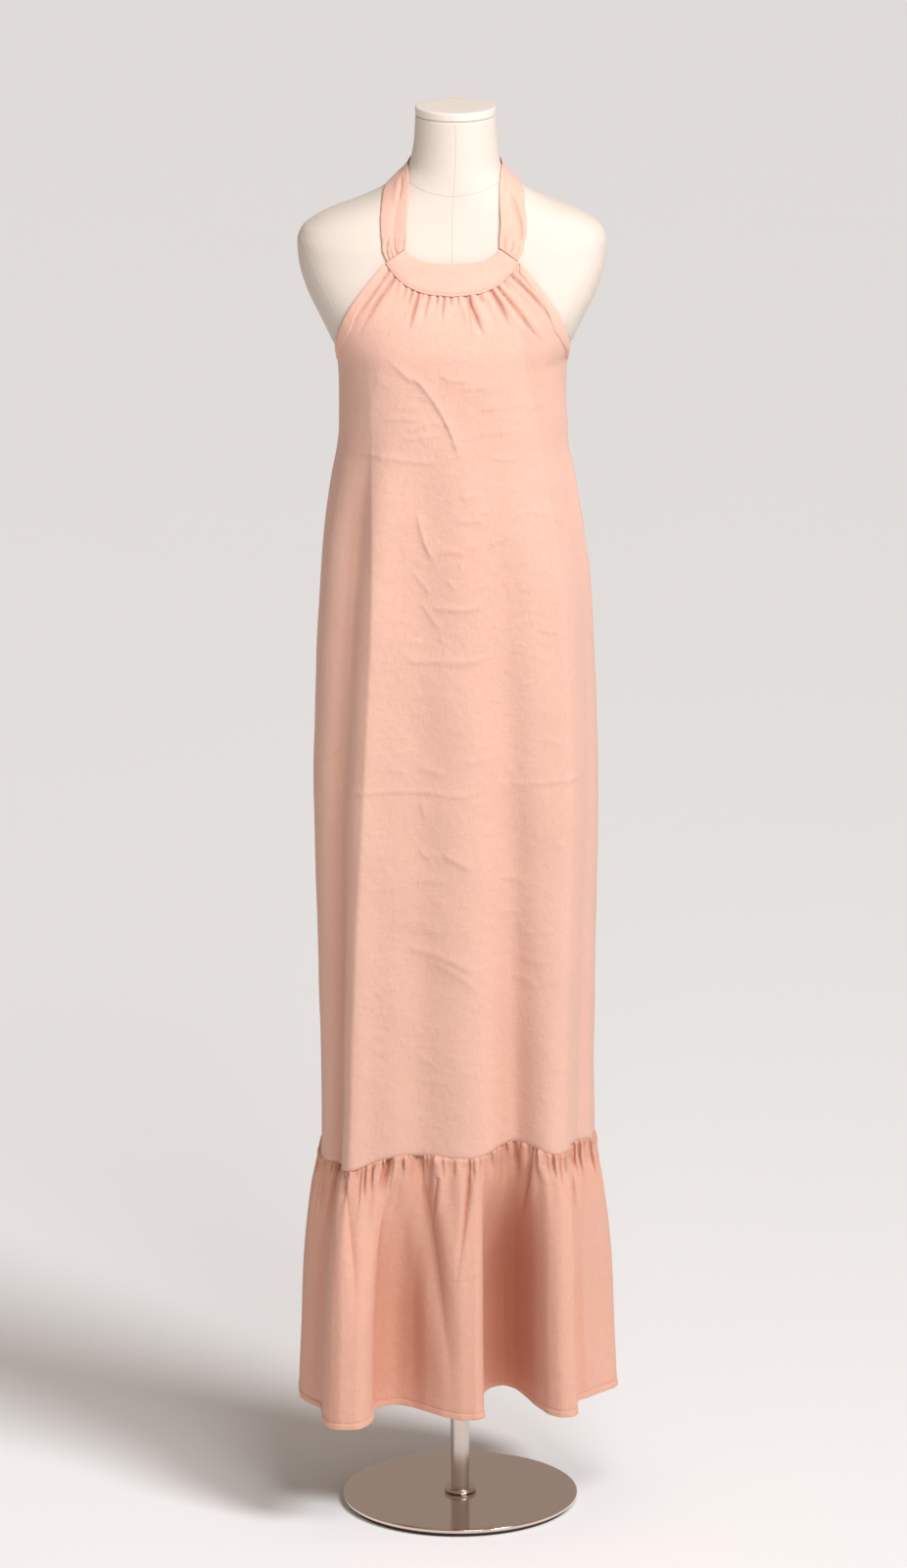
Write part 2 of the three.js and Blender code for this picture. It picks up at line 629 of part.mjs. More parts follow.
// Ruffle rows as shares of its drop, the last ones at the turned hem
const ruffleShares = [0, 0.045, 0.1, 0.2, 0.34, 0.5, 0.68, 0.85];
const hemShare = 1 - hemDepth / 310;

// Angles at even lengths along the hem
function hemSpaced(start, end, count) {
  const angles = spaced(start, end, 8 * count);
  const lengths = [0];
  for (let i = 1; i < angles.length; i += 1) {
    const step = rufflePoint(angles[i], 1).distanceTo(rufflePoint(angles[i - 1], 1));
    lengths.push(lengths[i - 1] + step);
  }
  return spaced(0, lengths.at(-1), count).map((length, i) => {
    if (i === 0) return start;
    if (i === count) return end;
    const after = lengths.findIndex((value) => value > length);
    const part = (length - lengths[after - 1]) / (lengths[after] - lengths[after - 1]);
    return lerp(angles[after - 1], angles[after], part);
  });
}

function rufflePiece(start, end, denseColumns) {
  const shares = [...ruffleShares, hemShare, hemShare + 0.002, 1];
  const seamAngles = spaced(start, end, denseColumns);
  const foldAngles = hemSpaced(start, end, denseColumns / 2);
  const rows = shares.map((share) => {
    const wall = share > hemShare ? hemWall : clothWall;
    const angles = share <= ruffleShares[2] ? seamAngles : foldAngles;
    return angles.map((angle) => {
      const outward = levelOutward(rufflePoint, angle, share, 0.7, 0.01);
      return wallPoint(angle, rufflePoint(angle, share), outward, wall, (wall - clothWall) / 2);
    });
  });
  return wallGeometry(rows);
}

// The neck band: its lower edge follows the neck seam, its ends meet the straps
function bandPoint(across, down) {
  const topAngle = bandTopAngle * across;
  const seamAngle = neckSeamAngle * across;
  const angle = lerp(topAngle, seamAngle, down);
  const top = bandTopHeight(Math.abs(topAngle));
  const seam = neckSeamHeight(Math.abs(seamAngle)) + seamGap / 2;
  const height = lerp(top, seam, down);
  const point = sectionPoint(dressCurves, angle, height);
  return point.addScaledVector(new THREE.Vector3(0, -1, 0), bandEase - dressEase);
}

function neckBand() {
  const rows = [[0, 20], [0.5, 32], [1, neckColumns]].map(([down, columns]) => (
    spaced(-1, 1, columns).map((across) => {
      const outward = levelOutward(bandPoint, across, down, 0.02, 0.05);
      return wallPoint(across, bandPoint(across, down), outward, bandWall);
    })));
  return wallGeometry(rows);
}

// Straps: across runs from the upper edge to the lower one, station along the strap
function strapPoint(station, across) {
  const angle = lerp(strapCurves.upperAngle(station), strapCurves.lowerAngle(station), across);
  const height = lerp(strapCurves.upperHeight(station), strapCurves.lowerHeight(station), across);
  return sectionPoint(formCurves, angle, height);
}

function neckStrap(sign) {
  const bandGap = 0.03;
  const napeGap = 0.006;
  const mirror = (point) => new THREE.Vector3(2 * formCurves.centre(point.z) - point.x, point.y, point.z);
  const rows = [0, 0.33, 0.67, 1].map((across) => (
    spaced(bandGap, 10 - napeGap, strapSteps).map((station) => {
      const outward = outwardOf(strapPoint, station, across, 0.05, 0.04);
      const wall = wallPoint(station, strapPoint(station, across), outward, strapWall, strapEase + strapWall);
      if (sign > 0) return wall;
      return { at: -station, outer: mirror(wall.outer), inner: mirror(wall.inner) };
    })));
  return wallGeometry(sign > 0 ? rows : rows.map((row) => row.reverse()));
}

// The form: rings from the neck down, closed flat at both ends
function formTorso() {
  const heights = [
    1689.7, 1659, 1646, 1634, 1624, 1613, 1605, 1597, 1591, 1585, 1579, 1573, 1567, 1562, 1557, 1550, 1542,
    1531, 1520, 1505, 1490, 1472, 1455, 1440, 1425, 1407, 1390, 1340, 1290, 1230, 1170, 1110, 1020, 965, 938, 930,
  ];
  const positions = [];
  const index = [];
  for (const height of heights) {
    for (let i = 0; i < formColumns; i += 1) {
      positions.push(...sectionPoint(formCurves, 360 * i / formColumns, height).toArray());
    }
  }
  const at = (row, column) => row * formColumns + (column % formColumns);
  for (let row = 0; row < heights.length - 1; row += 1) {
    for (let i = 0; i < formColumns; i += 1) {
      index.push(at(row, i), at(row + 1, i), at(row, i + 1));
      index.push(at(row, i + 1), at(row + 1, i), at(row + 1, i + 1));
    }
  }
  const cap = (row, top) => {
    const height = heights[row];
    positions.push(formCurves.centre(height), 0, height);
    const centre = positions.length / 3 - 1;
    for (let i = 0; i < formColumns; i += 1) {
      index.push(centre, ...(top ? [at(row, i), at(row, i + 1)] : [at(row, i + 1), at(row, i)]));
    }
  };
  cap(0, true);
  cap(heights.length - 1, false);
  const geometry = new THREE.BufferGeometry();
  geometry.setAttribute("position", new THREE.Float32BufferAttribute(positions, 3));
  geometry.setIndex(index);
  geometry.computeVertexNormals();
  return geometry;
}

// Round pieces turned from a profile of radius and height
function turned(profile) {
  const points = profile.map(([radius, height]) => new THREE.Vector2(radius, height));
  return new THREE.LatheGeometry(points, roundSegments).rotateX(Math.PI / 2);
}

function neckCap() {
  const low = totalHeight - capHeight;
  return turned([
    [0, low], [capRadius - 0.6, low], [capRadius, low + 0.6], [capRadius, totalHeight - capEdge],
    [capRadius - 0.6, totalHeight - 0.6], [capRadius - capEdge, totalHeight], [0, totalHeight],
  ]);
}

function baseFoot() {
  return turned([[0, 0], [footRadius - 1, 0], [footRadius, 1], [footRadius, footHeight], [0, footHeight]]);
}

const discLow = footHeight + seat;
const discTop = discLow + baseThickness;

function baseDisc() {
  return turned([
    [0, discLow], [baseRadius - 0.8, discLow], [baseRadius, discLow + 0.8], [baseRadius, discTop - 0.8],
    [baseRadius - 0.8, discTop], [0, discTop],
  ]);
}

function polePiece() {
  const low = discTop + seat;
  const top = formRows[0].height - seat;
  return turned([[0, low], [poleRadius, low], [poleRadius, top], [0, top]]);
}

function poleCollar() {
  const low = discTop + seat;
  const hole = poleRadius + seat;
  const top = low + collarHeight;
  return turned([
    [hole, low], [collarRadius, low], [collarRadius, top - 2], [collarRadius - 2, top - 0.3], [hole, top], [hole, low],
  ]);
}

const halter = new THREE.Group();

function add(name, geometry, finish) {
  const material = new THREE.MeshStandardMaterial(materials[finish]);
  const mesh = new THREE.Mesh(geometry, material);
  mesh.name = name;
  halter.add(mesh);
}

add("dress_front", dressFront(), "cloth");
add("dress_back", dressBack(), "cloth");
add("neck_band", neckBand(), "cloth");
add("strap_left", neckStrap(1), "cloth");
add("strap_right", neckStrap(-1), "cloth");
add("binding_left", armholeBinding(1), "cloth");
add("binding_right", armholeBinding(-1), "cloth");
add("binding_back", backBinding(), "cloth");
add("ruffle_front", rufflePiece(-90 + halfGapAngle, 90 - halfGapAngle, ruffleFrontColumns), "ruffleCloth");
add("ruffle_back", rufflePiece(90 + halfGapAngle, 270 - halfGapAngle, ruffleBackColumns), "ruffleCloth");
add("form_torso", formTorso(), "cover");
add("neck_cap", neckCap(), "cap");
add("pole", polePiece(), "steel");
add("pole_collar", poleCollar(), "steel");
add("base_disc", baseDisc(), "steel");
add("base_foot", baseFoot(), "rubber");

export default halter;
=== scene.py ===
import math

import bmesh
import bpy
import numpy as np
from mathutils import Matrix, Vector


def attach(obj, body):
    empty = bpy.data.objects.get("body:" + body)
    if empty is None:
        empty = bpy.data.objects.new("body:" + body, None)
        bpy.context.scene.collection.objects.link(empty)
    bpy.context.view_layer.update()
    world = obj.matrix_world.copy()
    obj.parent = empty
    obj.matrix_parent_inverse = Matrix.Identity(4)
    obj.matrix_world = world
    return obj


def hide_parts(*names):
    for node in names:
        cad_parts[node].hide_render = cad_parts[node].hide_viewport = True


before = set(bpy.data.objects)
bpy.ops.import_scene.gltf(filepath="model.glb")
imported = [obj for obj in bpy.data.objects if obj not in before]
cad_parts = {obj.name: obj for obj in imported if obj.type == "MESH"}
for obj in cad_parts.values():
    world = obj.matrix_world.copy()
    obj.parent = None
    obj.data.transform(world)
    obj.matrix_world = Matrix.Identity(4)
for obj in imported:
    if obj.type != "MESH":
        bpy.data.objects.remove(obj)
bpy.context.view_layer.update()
mm = 0.001


# camera: far back with a long lens, looking slightly down, as the photo was taken

cameraView = {
    "place": (-0.0051, -11.373, 4.117),
    "pitch": 15.85,
    "roll": -0.2,
    "lens": 231.4,
    "sensor": 36,
    "farEnd": 100,
}


def makeCamera():
    lens = bpy.data.cameras.new("photoCamera")
    lens.lens = cameraView["lens"]
    lens.sensor_width = cameraView["sensor"]
    lens.clip_end = cameraView["farEnd"]
    camera = bpy.data.objects.new("photoCamera", lens)
    bpy.context.collection.objects.link(camera)
    tilt = Matrix.Rotation(math.radians(90 - cameraView["pitch"]), 4, "X")
    roll = Matrix.Rotation(math.radians(cameraView["roll"]), 4, "Z")
    camera.matrix_world = Matrix.Translation(cameraView["place"]) @ tilt @ roll
    bpy.context.scene.camera = camera


makeCamera()
print("camera placed")


# tables in millimetres and degrees, the same as the solids'; angle 0 is the front, 90 the wearer's left

def table(names, *rows):
    columns = np.array(rows, float).T
    return dict(zip(names.split(), columns))


formTable = table(
    "height halfWidth front back square centre",
    (930, 126, 72, 76, 0.04, -2),
    (938, 138, 84, 88, 0.045, -2),
    (965, 145, 92, 95, 0.045, -2),
    (1020, 147, 94, 98, 0.045, -2),
    (1110, 133, 90, 91, 0.04, -2.5),
    (1230, 104, 84, 75, 0.03, -3.5),
    (1340, 119, 101, 90, 0.04, -4.5),
    (1395, 126.5, 112, 94, 0.045, -4.5),
    (1407, 130, 113, 95, 0.045, -4.5),
    (1425, 138.5, 112.5, 96, 0.045, -4.5),
    (1455, 153, 107, 96.5, 0.045, -4.5),
    (1490, 169.5, 94, 95, 0.045, -4.5),
    (1520, 177.5, 81, 91, 0.045, -4.5),
    (1542, 179, 73, 86, 0.045, -4.5),
    (1557, 174, 67, 82, 0.04, -4.5),
    (1567, 162, 63.5, 79, 0.035, -4.5),
    (1576, 145, 60.5, 76, 0.03, -4.5),
    (1586, 119, 58, 72, 0.02, -4),
    (1597, 94, 55.5, 68, 0.01, -3),
    (1613, 70, 53, 62, 0, -2),
    (1634, 52.5, 50.5, 54.5, 0, -1),
    (1659, 48.2, 48.2, 49, 0, 0),
    (1689.7, 46.2, 46.2, 46.2, 0, 0),
)
hangingTable = table(
    "height halfWidth front back square centre",
    (120, 190, 109, 113, 0.06, -2),
    (150, 189.5, 109, 113, 0.06, -2),
    (239, 186, 108, 111, 0.06, -2),
    (301, 183.5, 107.5, 110, 0.06, -2),
    (345, 180, 107, 109, 0.06, -2),
    (393, 173, 106, 108, 0.06, -2),
    (423, 167, 105, 106, 0.06, -2),
    (454, 160.5, 103, 104, 0.06, -2),
    (514, 160.5, 103, 104, 0.06, -2),
    (696, 163.5, 105, 105, 0.06, -2),
    (876, 166.8, 107.5, 106, 0.06, -2),
    (995, 164.5, 109, 104, 0.06, -2),
    (1114, 158.5, 110.5, 100, 0.06, -2.5),
    (1200, 151, 112, 96, 0.055, -3.5),
    (1261, 141.5, 113.5, 94.5, 0.05, -4.5),
    (1320, 132, 115, 96, 0.045, -4.5),
    (1370, 132, 116, 98, 0.045, -4.5),
)
neckSeamTable = table("angle height", (0, 1497), (8, 1500), (14, 1507.5), (18, 1519), (21, 1532))
armholeTable = table(
    "angle height", (21, 1532), (28, 1509), (37, 1483.5), (48, 1458), (60, 1436), (75, 1416), (90, 1407)
)
bandTopTable = table("angle height", (0, 1531), (6, 1532), (10, 1535), (13, 1541), (14.7, 1547))
ruffleSeamTable = table(
    "angle height",
    (-180, 450), (-150, 446), (-120, 444), (-90, 442), (-60, 443), (-50, 443), (-41, 445), (-33, 452),
    (-25, 460), (-14, 463.5), (-4, 462), (4, 461), (10, 465), (15, 472), (20, 476), (26, 474),
    (33, 466), (40, 462), (46, 462.5), (48.5, 469), (58, 469), (70, 466), (80, 458), (90, 452),
    (125, 448), (155, 453), (180, 450),
)
skirtFolds = table(
    "highAngle lowAngle width highDepth lowDepth",
    (-30.5, -43, 8, 5, 10),
    (-41.5, -56, 9, -10, -12),
    (-62, -74, 7, 3, 2),
    (-11, -13, 8, -3, -6),
    (2, 3, 9, 1, 4),
    (16, 20.5, 8, -3, -20),
    (48, 36, 9, 3, 7),
    (66, 60, 9, -2, -7),
    (118, 112, 11, 2, 8),
    (140, 132, 10, -1, -11),
    (160, 154, 10, 2, 7),
    (178, 174, 9, -1, -10),
    (-158, -164, 9, 2, 8),
    (-136, -143, 10, -1, -11),
    (-112, -118, 11, 2, 7),
)
hemTable = table(
    "angle x y height",
    (-90, -191.5, 0, 144), (-76, -190, -40, 144), (-63, -178, -68, 144), (-54, -164, -88, 143),
    (-50.5, -162, -122, 140), (-47.5, -154, -140, 138), (-42, -140, -147, 138), (-36, -125, -146, 138),
    (-30, -111, -137, 139), (-25, -102.5, -118, 142), (-22, -105.5, -99, 144), (-19, -94, -87, 146),
    (-15, -76, -82, 147), (-11, -58, -87, 146), (-6.5, -38, -103, 145), (-2, -16, -118, 143),
    (2, 4, -125, 142), (5.5, 18, -125, 142), (8, 28.5, -113, 143), (9.6, 26.5, -84, 147),
    (11.2, 27, -57, 150), (13.5, 37, -39, 153), (17, 51, -34, 154), (20.5, 64, -41, 153),
    (24, 78, -62, 150), (28.5, 93, -91, 146), (33.5, 108, -110, 143), (38.5, 122, -116, 142),
    (42.5, 134, -112, 142), (45, 139.5, -100, 143), (46.8, 136.5, -84, 145), (49, 141, -69, 147),
    (55, 152, -59, 147), (63, 161, -45, 146), (73, 175, -27, 145), (82, 184.5, -13, 144),
    (90, 187.5, 0, 144), (97, 181, 24, 145), (103, 168, 43, 147), (107, 156, 58, 146),
    (110, 158, 84, 144), (113, 152, 104, 142), (118, 138, 118, 141), (123, 122, 120, 141),
    (127, 110, 108, 143), (129.5, 112, 90, 145), (132, 101, 78, 147), (137, 84, 75, 148),
    (142, 68, 86, 146), (148, 50, 108, 143), (153, 36, 124, 141), (158, 20, 130, 141),
    (162, 8, 124, 142), (164.5, 6, 108, 143), (167, -3, 95, 145), (171, -17, 89, 146),
    (176, -33, 94, 145), (182, -48, 110, 143), (188, -62, 123, 141), (194, -78, 128, 141),
    (199, -92, 118, 142), (201.5, -91, 98, 145), (205, -99, 79, 147), (210, -112, 70, 148),
    (216, -124, 78, 147), (222, -136, 96, 144), (228, -149, 111, 142), (235, -162, 106, 142),
    (240, -166, 88, 144), (245, -172, 70, 145), (251, -179, 53, 145), (258, -186, 34, 145),
    (264, -190, 16, 144), (270, -191.5, 0, 144),
)
strapTable = table(
    "station upperAngle upperHeight lowerAngle lowerHeight",
    (0, 14.7, 1547, 21, 1532),
    (0.5, 15.1, 1557, 22.6, 1543),
    (1, 16.3, 1566, 23.8, 1555),
    (1.5, 18.6, 1575.5, 26.2, 1565),
    (2, 22.5, 1584, 30.6, 1575),
    (2.5, 28, 1592, 38, 1583.5),
    (3, 34.5, 1600, 47, 1590.5),
    (3.5, 42, 1608, 56.5, 1596),
    (4, 50, 1616, 66.5, 1601),
    (5, 68.5, 1627.5, 82, 1606),
    (6, 84, 1632, 95, 1608.5),
    (7, 102, 1635.5, 110, 1611.5),
    (8, 126, 1640, 129, 1616),
    (9, 152, 1644, 153, 1620),
    (10, 180, 1646, 180, 1622),
)
dressCut = {
    "ease": 4,
    "neckShare": 0.5,
    "seamAngle": 21,
    "bandAngle": 14.7,
    "backTop": 1407,
    "foldTop": 1380,
    "foldFull": 1180,
    "spreadFrom": 1290,
    "sideFade": (5, 40),
    "seamReach": 5,
    "wall": 0.8,
}


def ease(value, start, end):
    part = np.clip((value - start) / (end - start), 0, 1)
    return part * part * (3 - 2 * part)


def mix(a, b, t):
    return a + (b - a) * t


def hermite(t, start, end, startSlope, endSlope):
    rise = (2 * t**3 - 3 * t**2 + 1) * start + (3 * t**2 - 2 * t**3) * end
    return rise + (t**3 - 2 * t**2 + t) * startSlope + (t**3 - t**2) * endSlope


def smoothCurve(x, y):
    # a curve through the points that never overshoots them
    chord = np.diff(y) / np.diff(x)
    slope = np.empty(len(x))
    slope[0] = chord[0]
    slope[-1] = chord[-1]
    before = chord[:-1]
    after = chord[1:]
    product = before * after
    total = np.where(product > 0, before + after, 1)
    slope[1:-1] = np.where(product > 0, 2 * product / total, 0)

    def curve(at):
        at = np.asarray(at, float)
        i = np.clip(np.searchsorted(x, at) - 1, 0, len(x) - 2)
        span = x[i + 1] - x[i]
        t = np.clip((at - x[i]) / span, 0, 1)
        return hermite(t, y[i], y[i + 1], span * slope[i], span * slope[i + 1])

    return curve


def curvesOf(columns, key):
    return {name: smoothCurve(columns[key], column) for name, column in columns.items() if name != key}


def easedChest():
    # the dress hangs free below the chest and follows the form, a little off it, from there up
    keep = formTable["height"] >= dressCut["backTop"]
    chest = {name: column[keep].copy() for name, column in formTable.items()}
    for name in ("halfWidth", "front", "back"):
        chest[name] += dressCut["ease"]
    return {name: np.concatenate([hangingTable[name], chest[name]]) for name in chest}


formCurves = curvesOf(formTable, "height")
dressCurves = curvesOf(easedChest(), "height")
neckSeamHeight = curvesOf(neckSeamTable, "angle")["height"]
armholeHeight = curvesOf(armholeTable, "angle")["height"]
bandTopHeight = curvesOf(bandTopTable, "angle")["height"]
ruffleSeamHeight = curvesOf(ruffleSeamTable, "angle")["height"]
strapCurves = curvesOf(strapTable, "station")
hemCurves = curvesOf(hemTable, "angle")


def sectionPoint(curves, angle, height):
    # a point of the squared oval that the form or the dress has at this height
    turn = np.radians(angle)
    square = curves["square"](height)
    across = (np.sin(turn) + square * np.sin(3 * turn)) / (1 - square)
    forward = (np.cos(turn) - square * np.cos(3 * turn)) / (1 - square)
    depth = np.where(forward > 0, curves["front"](height), curves["back"](height))
    x = curves["centre"](height) + curves["halfWidth"](height) * across
    return np.stack(np.broadcast_arrays(x, -depth * forward, height), -1)


def wrapAngle(angle):
    return (angle + 540) % 360 - 180


def crest(distance, width):
    return np.exp(-((distance / width) ** 2))


def skirtFold(angle, height):
    # how far the long folds of the panels stand out
    strength = ease(height, dressCut["foldTop"], dressCut["foldFull"])
    low = ruffleSeamHeight(0)
    down = np.clip((dressCut["foldFull"] - height) / (dressCut["foldFull"] - low), 0, 1)
    out = 0
    for high, lowAngle, width, highDepth, lowDepth in zip(*skirtFolds.values()):
        distance = wrapAngle(angle - mix(high, lowAngle, down))
        out = out + mix(highDepth, lowDepth, down) * crest(distance, width)
    return out * strength


def foldedPoint(angle, height, out):
    # a point of the dress, moved out square to its section
    step = 0.5
    point = sectionPoint(dressCurves, angle, height)
    before = sectionPoint(dressCurves, angle - step, height)
    after = sectionPoint(dressCurves, angle + step, height)
    tangent = unitVectors(after - before)
    outward = np.stack([tangent[..., 1], -tangent[..., 0], np.zeros_like(tangent[..., 0])], -1)
    return point + outward * np.asarray(out)[..., None]


def unevenWave(turns, waves):
    # the ruffle's small waves, the same formula as the solids'
    phase = 2 * np.pi * turns
    drift = 1.1 * np.sin(3 * phase + 0.7) + 0.7 * np.sin(7 * phase + 2.1)
    return np.sin(waves * phase + drift) * (0.75 + 0.25 * np.sin(5 * phase + 1.2))


def unitVectors(vectors):
    return vectors / np.maximum(np.linalg.norm(vectors, axis=-1, keepdims=True), 1e-9)


def gridNormals(points):
    across = np.gradient(points, axis=1)
    down = np.gradient(points, axis=0)
    return unitVectors(np.cross(down, across))


def pointing(normals, away):
    # the normals, turned to the side that away points to
    return normals * np.sign(np.sum(normals * away, -1, keepdims=True))


# mesh helpers: grids of points in millimetres become meshes in metres

def meshObject(name, points, faces, uv=None, closed=False):
    mesh = bpy.data.meshes.new(name)
    mesh.from_pydata((np.asarray(points) * mm).tolist(), [], [list(face) for face in faces])
    if closed:
        shape = bmesh.new()
        shape.from_mesh(mesh)
        bmesh.ops.recalc_face_normals(shape, faces=shape.faces)
        shape.to_mesh(mesh)
        shape.free()
    mesh.polygons.foreach_set("use_smooth", [True] * len(mesh.polygons))
    if uv is not None:
        layer = mesh.uv_layers.new(name="cut")
        corner = np.empty(len(mesh.loops), int)
        mesh.loops.foreach_get("vertex_index", corner)
        layer.data.foreach_set("uv", (np.asarray(uv) * mm)[corner].ravel())
    piece = bpy.data.objects.new(name, mesh)
    bpy.context.collection.objects.link(piece)
    return piece


def gridFaces(rows, columns, closed=False):
    index = np.arange(rows * columns).reshape(rows, columns)
    if closed:
        index = np.concatenate([index, index[:, :1]], axis=1)
    a = index[:-1, :-1].ravel()
    b = index[1:, :-1].ravel()
    c = index[1:, 1:].ravel()
    d = index[:-1, 1:].ravel()
    return np.stack([a, b, c, d], -1).tolist()


def cappedFaces(rows, columns):
    # a closed tube of quads with one face over each end
    last = (rows - 1) * columns
    faces = gridFaces(rows, columns, closed=True)
    faces.append(list(range(columns)))
    faces.append([last + i for i in reversed(range(columns))])
    return faces


def settle(piece, node=None):
    # every piece rides on the one body, and takes the place of its solid where it has one
    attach(piece, "root")
    if node:
        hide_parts(node)


def gridLengths(points):
    # the cut as run lengths across from the middle and down, for the weave
    across = np.linalg.norm(np.diff(points, axis=1), axis=-1)
    down = np.linalg.norm(np.diff(points, axis=0), axis=-1)
    u = np.concatenate([np.zeros((points.shape[0], 1)), np.cumsum(across, 1)], 1)
    u -= u[:, u.shape[1] // 2][:, None]
    v = np.concatenate([np.zeros((1, points.shape[1])), np.cumsum(down, 0)], 0)
    return np.stack([u, -v], -1)


def clothSheet(name, points):
    # a plain sheet with its thickness on the inside
    rows, columns = points.shape[:2]
    uv = gridLengths(points).reshape(-1, 2)
    piece = meshObject(name, points.reshape(-1, 3), gridFaces(rows, columns), uv)
    shell = piece.modifiers.new("wall", "SOLIDIFY")
    shell.thickness = dressCut["wall"] * mm
    shell.offset = -1
    return piece


def lowest(values, reach):
    # smallest value within reach samples, both ways
    for axis in (0, 1):
        margin = [(0, 0), (0, 0)]
        margin[axis] = (reach, reach)
        wide = np.pad(values, margin, mode="edge")
        size = values.shape[axis]
        values = np.min([np.take(wide, range(i, i + size), axis) for i in range(2 * reach + 1)], 0)
    return values


def shellSheet(name, points, relief, coarse=3):
    # a fine outside, and a lining of every third point kept under its troughs, closed along the edges
    rows, columns = relief.shape
    normal = gridNormals(points)
    outer = points + normal * relief[..., None]
    low = lowest(relief, coarse - 1) - dressCut["wall"]
    lining = (points + normal * low[..., None])[::coarse, ::coarse]
    cut = gridLengths(outer)
    liningRows, liningColumns = lining.shape[:2]
    at = np.arange(rows * columns).reshape(rows, columns)
    inside = at.size + np.arange(liningRows * liningColumns).reshape(liningRows, liningColumns)
    faces = gridFaces(rows, columns)
    back = np.array(gridFaces(liningRows, liningColumns)) + at.size
    faces += back[:, ::-1].tolist()
    edges = ((at[0], inside[0]), (at[-1, ::-1], inside[-1, ::-1]))
    edges += ((at[::-1, 0], inside[::-1, 0]), (at[:, -1], inside[:, -1]))
    for fine, plain in edges:
        for i in range(len(plain) - 1):
            rim = fine[coarse * i:coarse * i + coarse + 1][::-1].tolist()
            faces.append([int(plain[i]), int(plain[i + 1])] + rim)
    everything = np.concatenate([outer.reshape(-1, 3), lining.reshape(-1, 3)])
    allCut = np.concatenate([cut.reshape(-1, 2), cut[::coarse, ::coarse].reshape(-1, 2)])
    piece = meshObject(name, everything, faces, allCut, closed=True)
    return piece, outer


def roundStrip(name, centre, outward, half, uv):
    # centre and outward are grids (along, across); half is the half thickness, thin at both long edges
    along, across = centre.shape[:2]
    thinnest = 0.02
    share = np.linspace(-1, 1, across)
    edge = half * np.sqrt(np.clip(1 - np.abs(share) ** 3, thinnest, 1))
    upper = centre + outward * edge[None, :, None]
    lower = centre - outward * edge[None, :, None]
    loop = np.concatenate([upper, lower[:, ::-1]], axis=1)
    loopUv = np.concatenate([uv, uv[:, ::-1]], axis=1)
    faces = cappedFaces(along, 2 * across)
    return meshObject(name, loop.reshape(-1, 3), faces, loopUv.reshape(-1, 2), closed=True)


# stitches; the shape gives the share of the length passed, the share of the radius and the lift

stitches = {
    "hem": {"length": 2.4, "gap": 0.9, "radius": 0.24},
    "edge": {"length": 1.9, "gap": 0.8, "radius": 0.2},
    "sides": 5,
}
stitchShape = table(
    "share size lift",
    (0, 0.4, -0.25), (0.16, 0.9, 0.12), (0.5, 1, 0.2), (0.84, 0.9, 0.12), (1, 0.4, -0.25),
)


def stitchRow(name, line, outward, kind):
    # short thread stitches along a line on the cloth, each a small five-sided capsule sunk at its ends
    spec = stitches[kind]
    run = np.concatenate([[0], np.cumsum(np.linalg.norm(np.diff(line, axis=0), axis=-1))])
    count = int(run[-1] // (spec["length"] + spec["gap"]))
    begin = (np.arange(count) + 0.25) * run[-1] / count
    at = begin[:, None] + stitchShape["share"][None, :] * spec["length"]
    centre = np.stack([np.interp(at, run, line[:, k]) for k in range(3)], -1)
    up = unitVectors(np.stack([np.interp(at, run, outward[:, k]) for k in range(3)], -1))
    forward = unitVectors(centre[:, -1:] - centre[:, :1])
    side = unitVectors(np.cross(np.broadcast_to(forward, up.shape), up))
    centre = centre + up * stitchShape["lift"][None, :, None]
    turns = np.linspace(0, 2 * np.pi, stitches["sides"], endpoint=False)
    ring = side[:, :, None] * np.cos(turns)[:, None] + up[:, :, None] * np.sin(turns)[:, None]
    size = spec["radius"] * stitchShape["size"]
    points = centre[:, :, None] + ring * size[None, :, None, None]
    capsule = cappedFaces(len(size), stitches["sides"])
    faces = []
    for i in range(count):
        first = i * len(size) * stitches["sides"]
        faces += [[first + corner for corner in face] for face in capsule]
    thread = meshObject(name, points.reshape(-1, 3), faces, closed=True)
    settle(thread)
    return thread


def turnedPiece(name, profile, segments):
    # a profile of radius and height, turned round the pole's axis
    profile = np.array(profile, float)
    turn = np.linspace(0, 2 * np.pi, segments, endpoint=False)
    ring = np.stack([np.sin(turn), -np.cos(turn)], -1)
    flat = ring[None] * profile[:, 0][:, None, None]
    height = np.repeat(profile[:, 1][:, None], segments, 1)[..., None]
    points = np.concatenate([flat, height], -1)
    return meshObject(name, points.reshape(-1, 3), cappedFaces(len(profile), segments), closed=True)


def roundedCorner(radius, height, size, inward, steps=5):
    # quarter round from the side to the top (inward 1) or from the underside to the side (inward -1)
    turns = np.linspace(0, np.pi / 2, steps)
    if inward > 0:
        return [(radius - size + size * math.cos(t), height - size + size * math.sin(t)) for t in turns]
    return [(radius - size + size * math.sin(t), height + size - size * math.cos(t)) for t in turns]


def discProfile(radius, low, top, rounds, rims, steps=5):
    # from the underside round the low and top edges to the top; rims say how far in its ends lie
    profile = [(radius - rims[0], low)] + roundedCorner(radius, low, rounds[0], -1)
    return profile + roundedCorner(radius, top, rounds[1], 1, steps) + [(radius - rims[1], top)]


# creases and gathers as lines on the cloth, in millimetres as seen from the front
# each line: size, width of its steep or deep part, width of its soft part, points of its path

creaseShape = {"start": (-0.04, 0.22), "end": (0.75, 1.04), "runOn": 2}
gatherShape = {"end": (0.35, 1.02), "spread": 0.7, "power": 1.3, "puffPlace": 1.9, "puffs": (0.4, 0.28)}


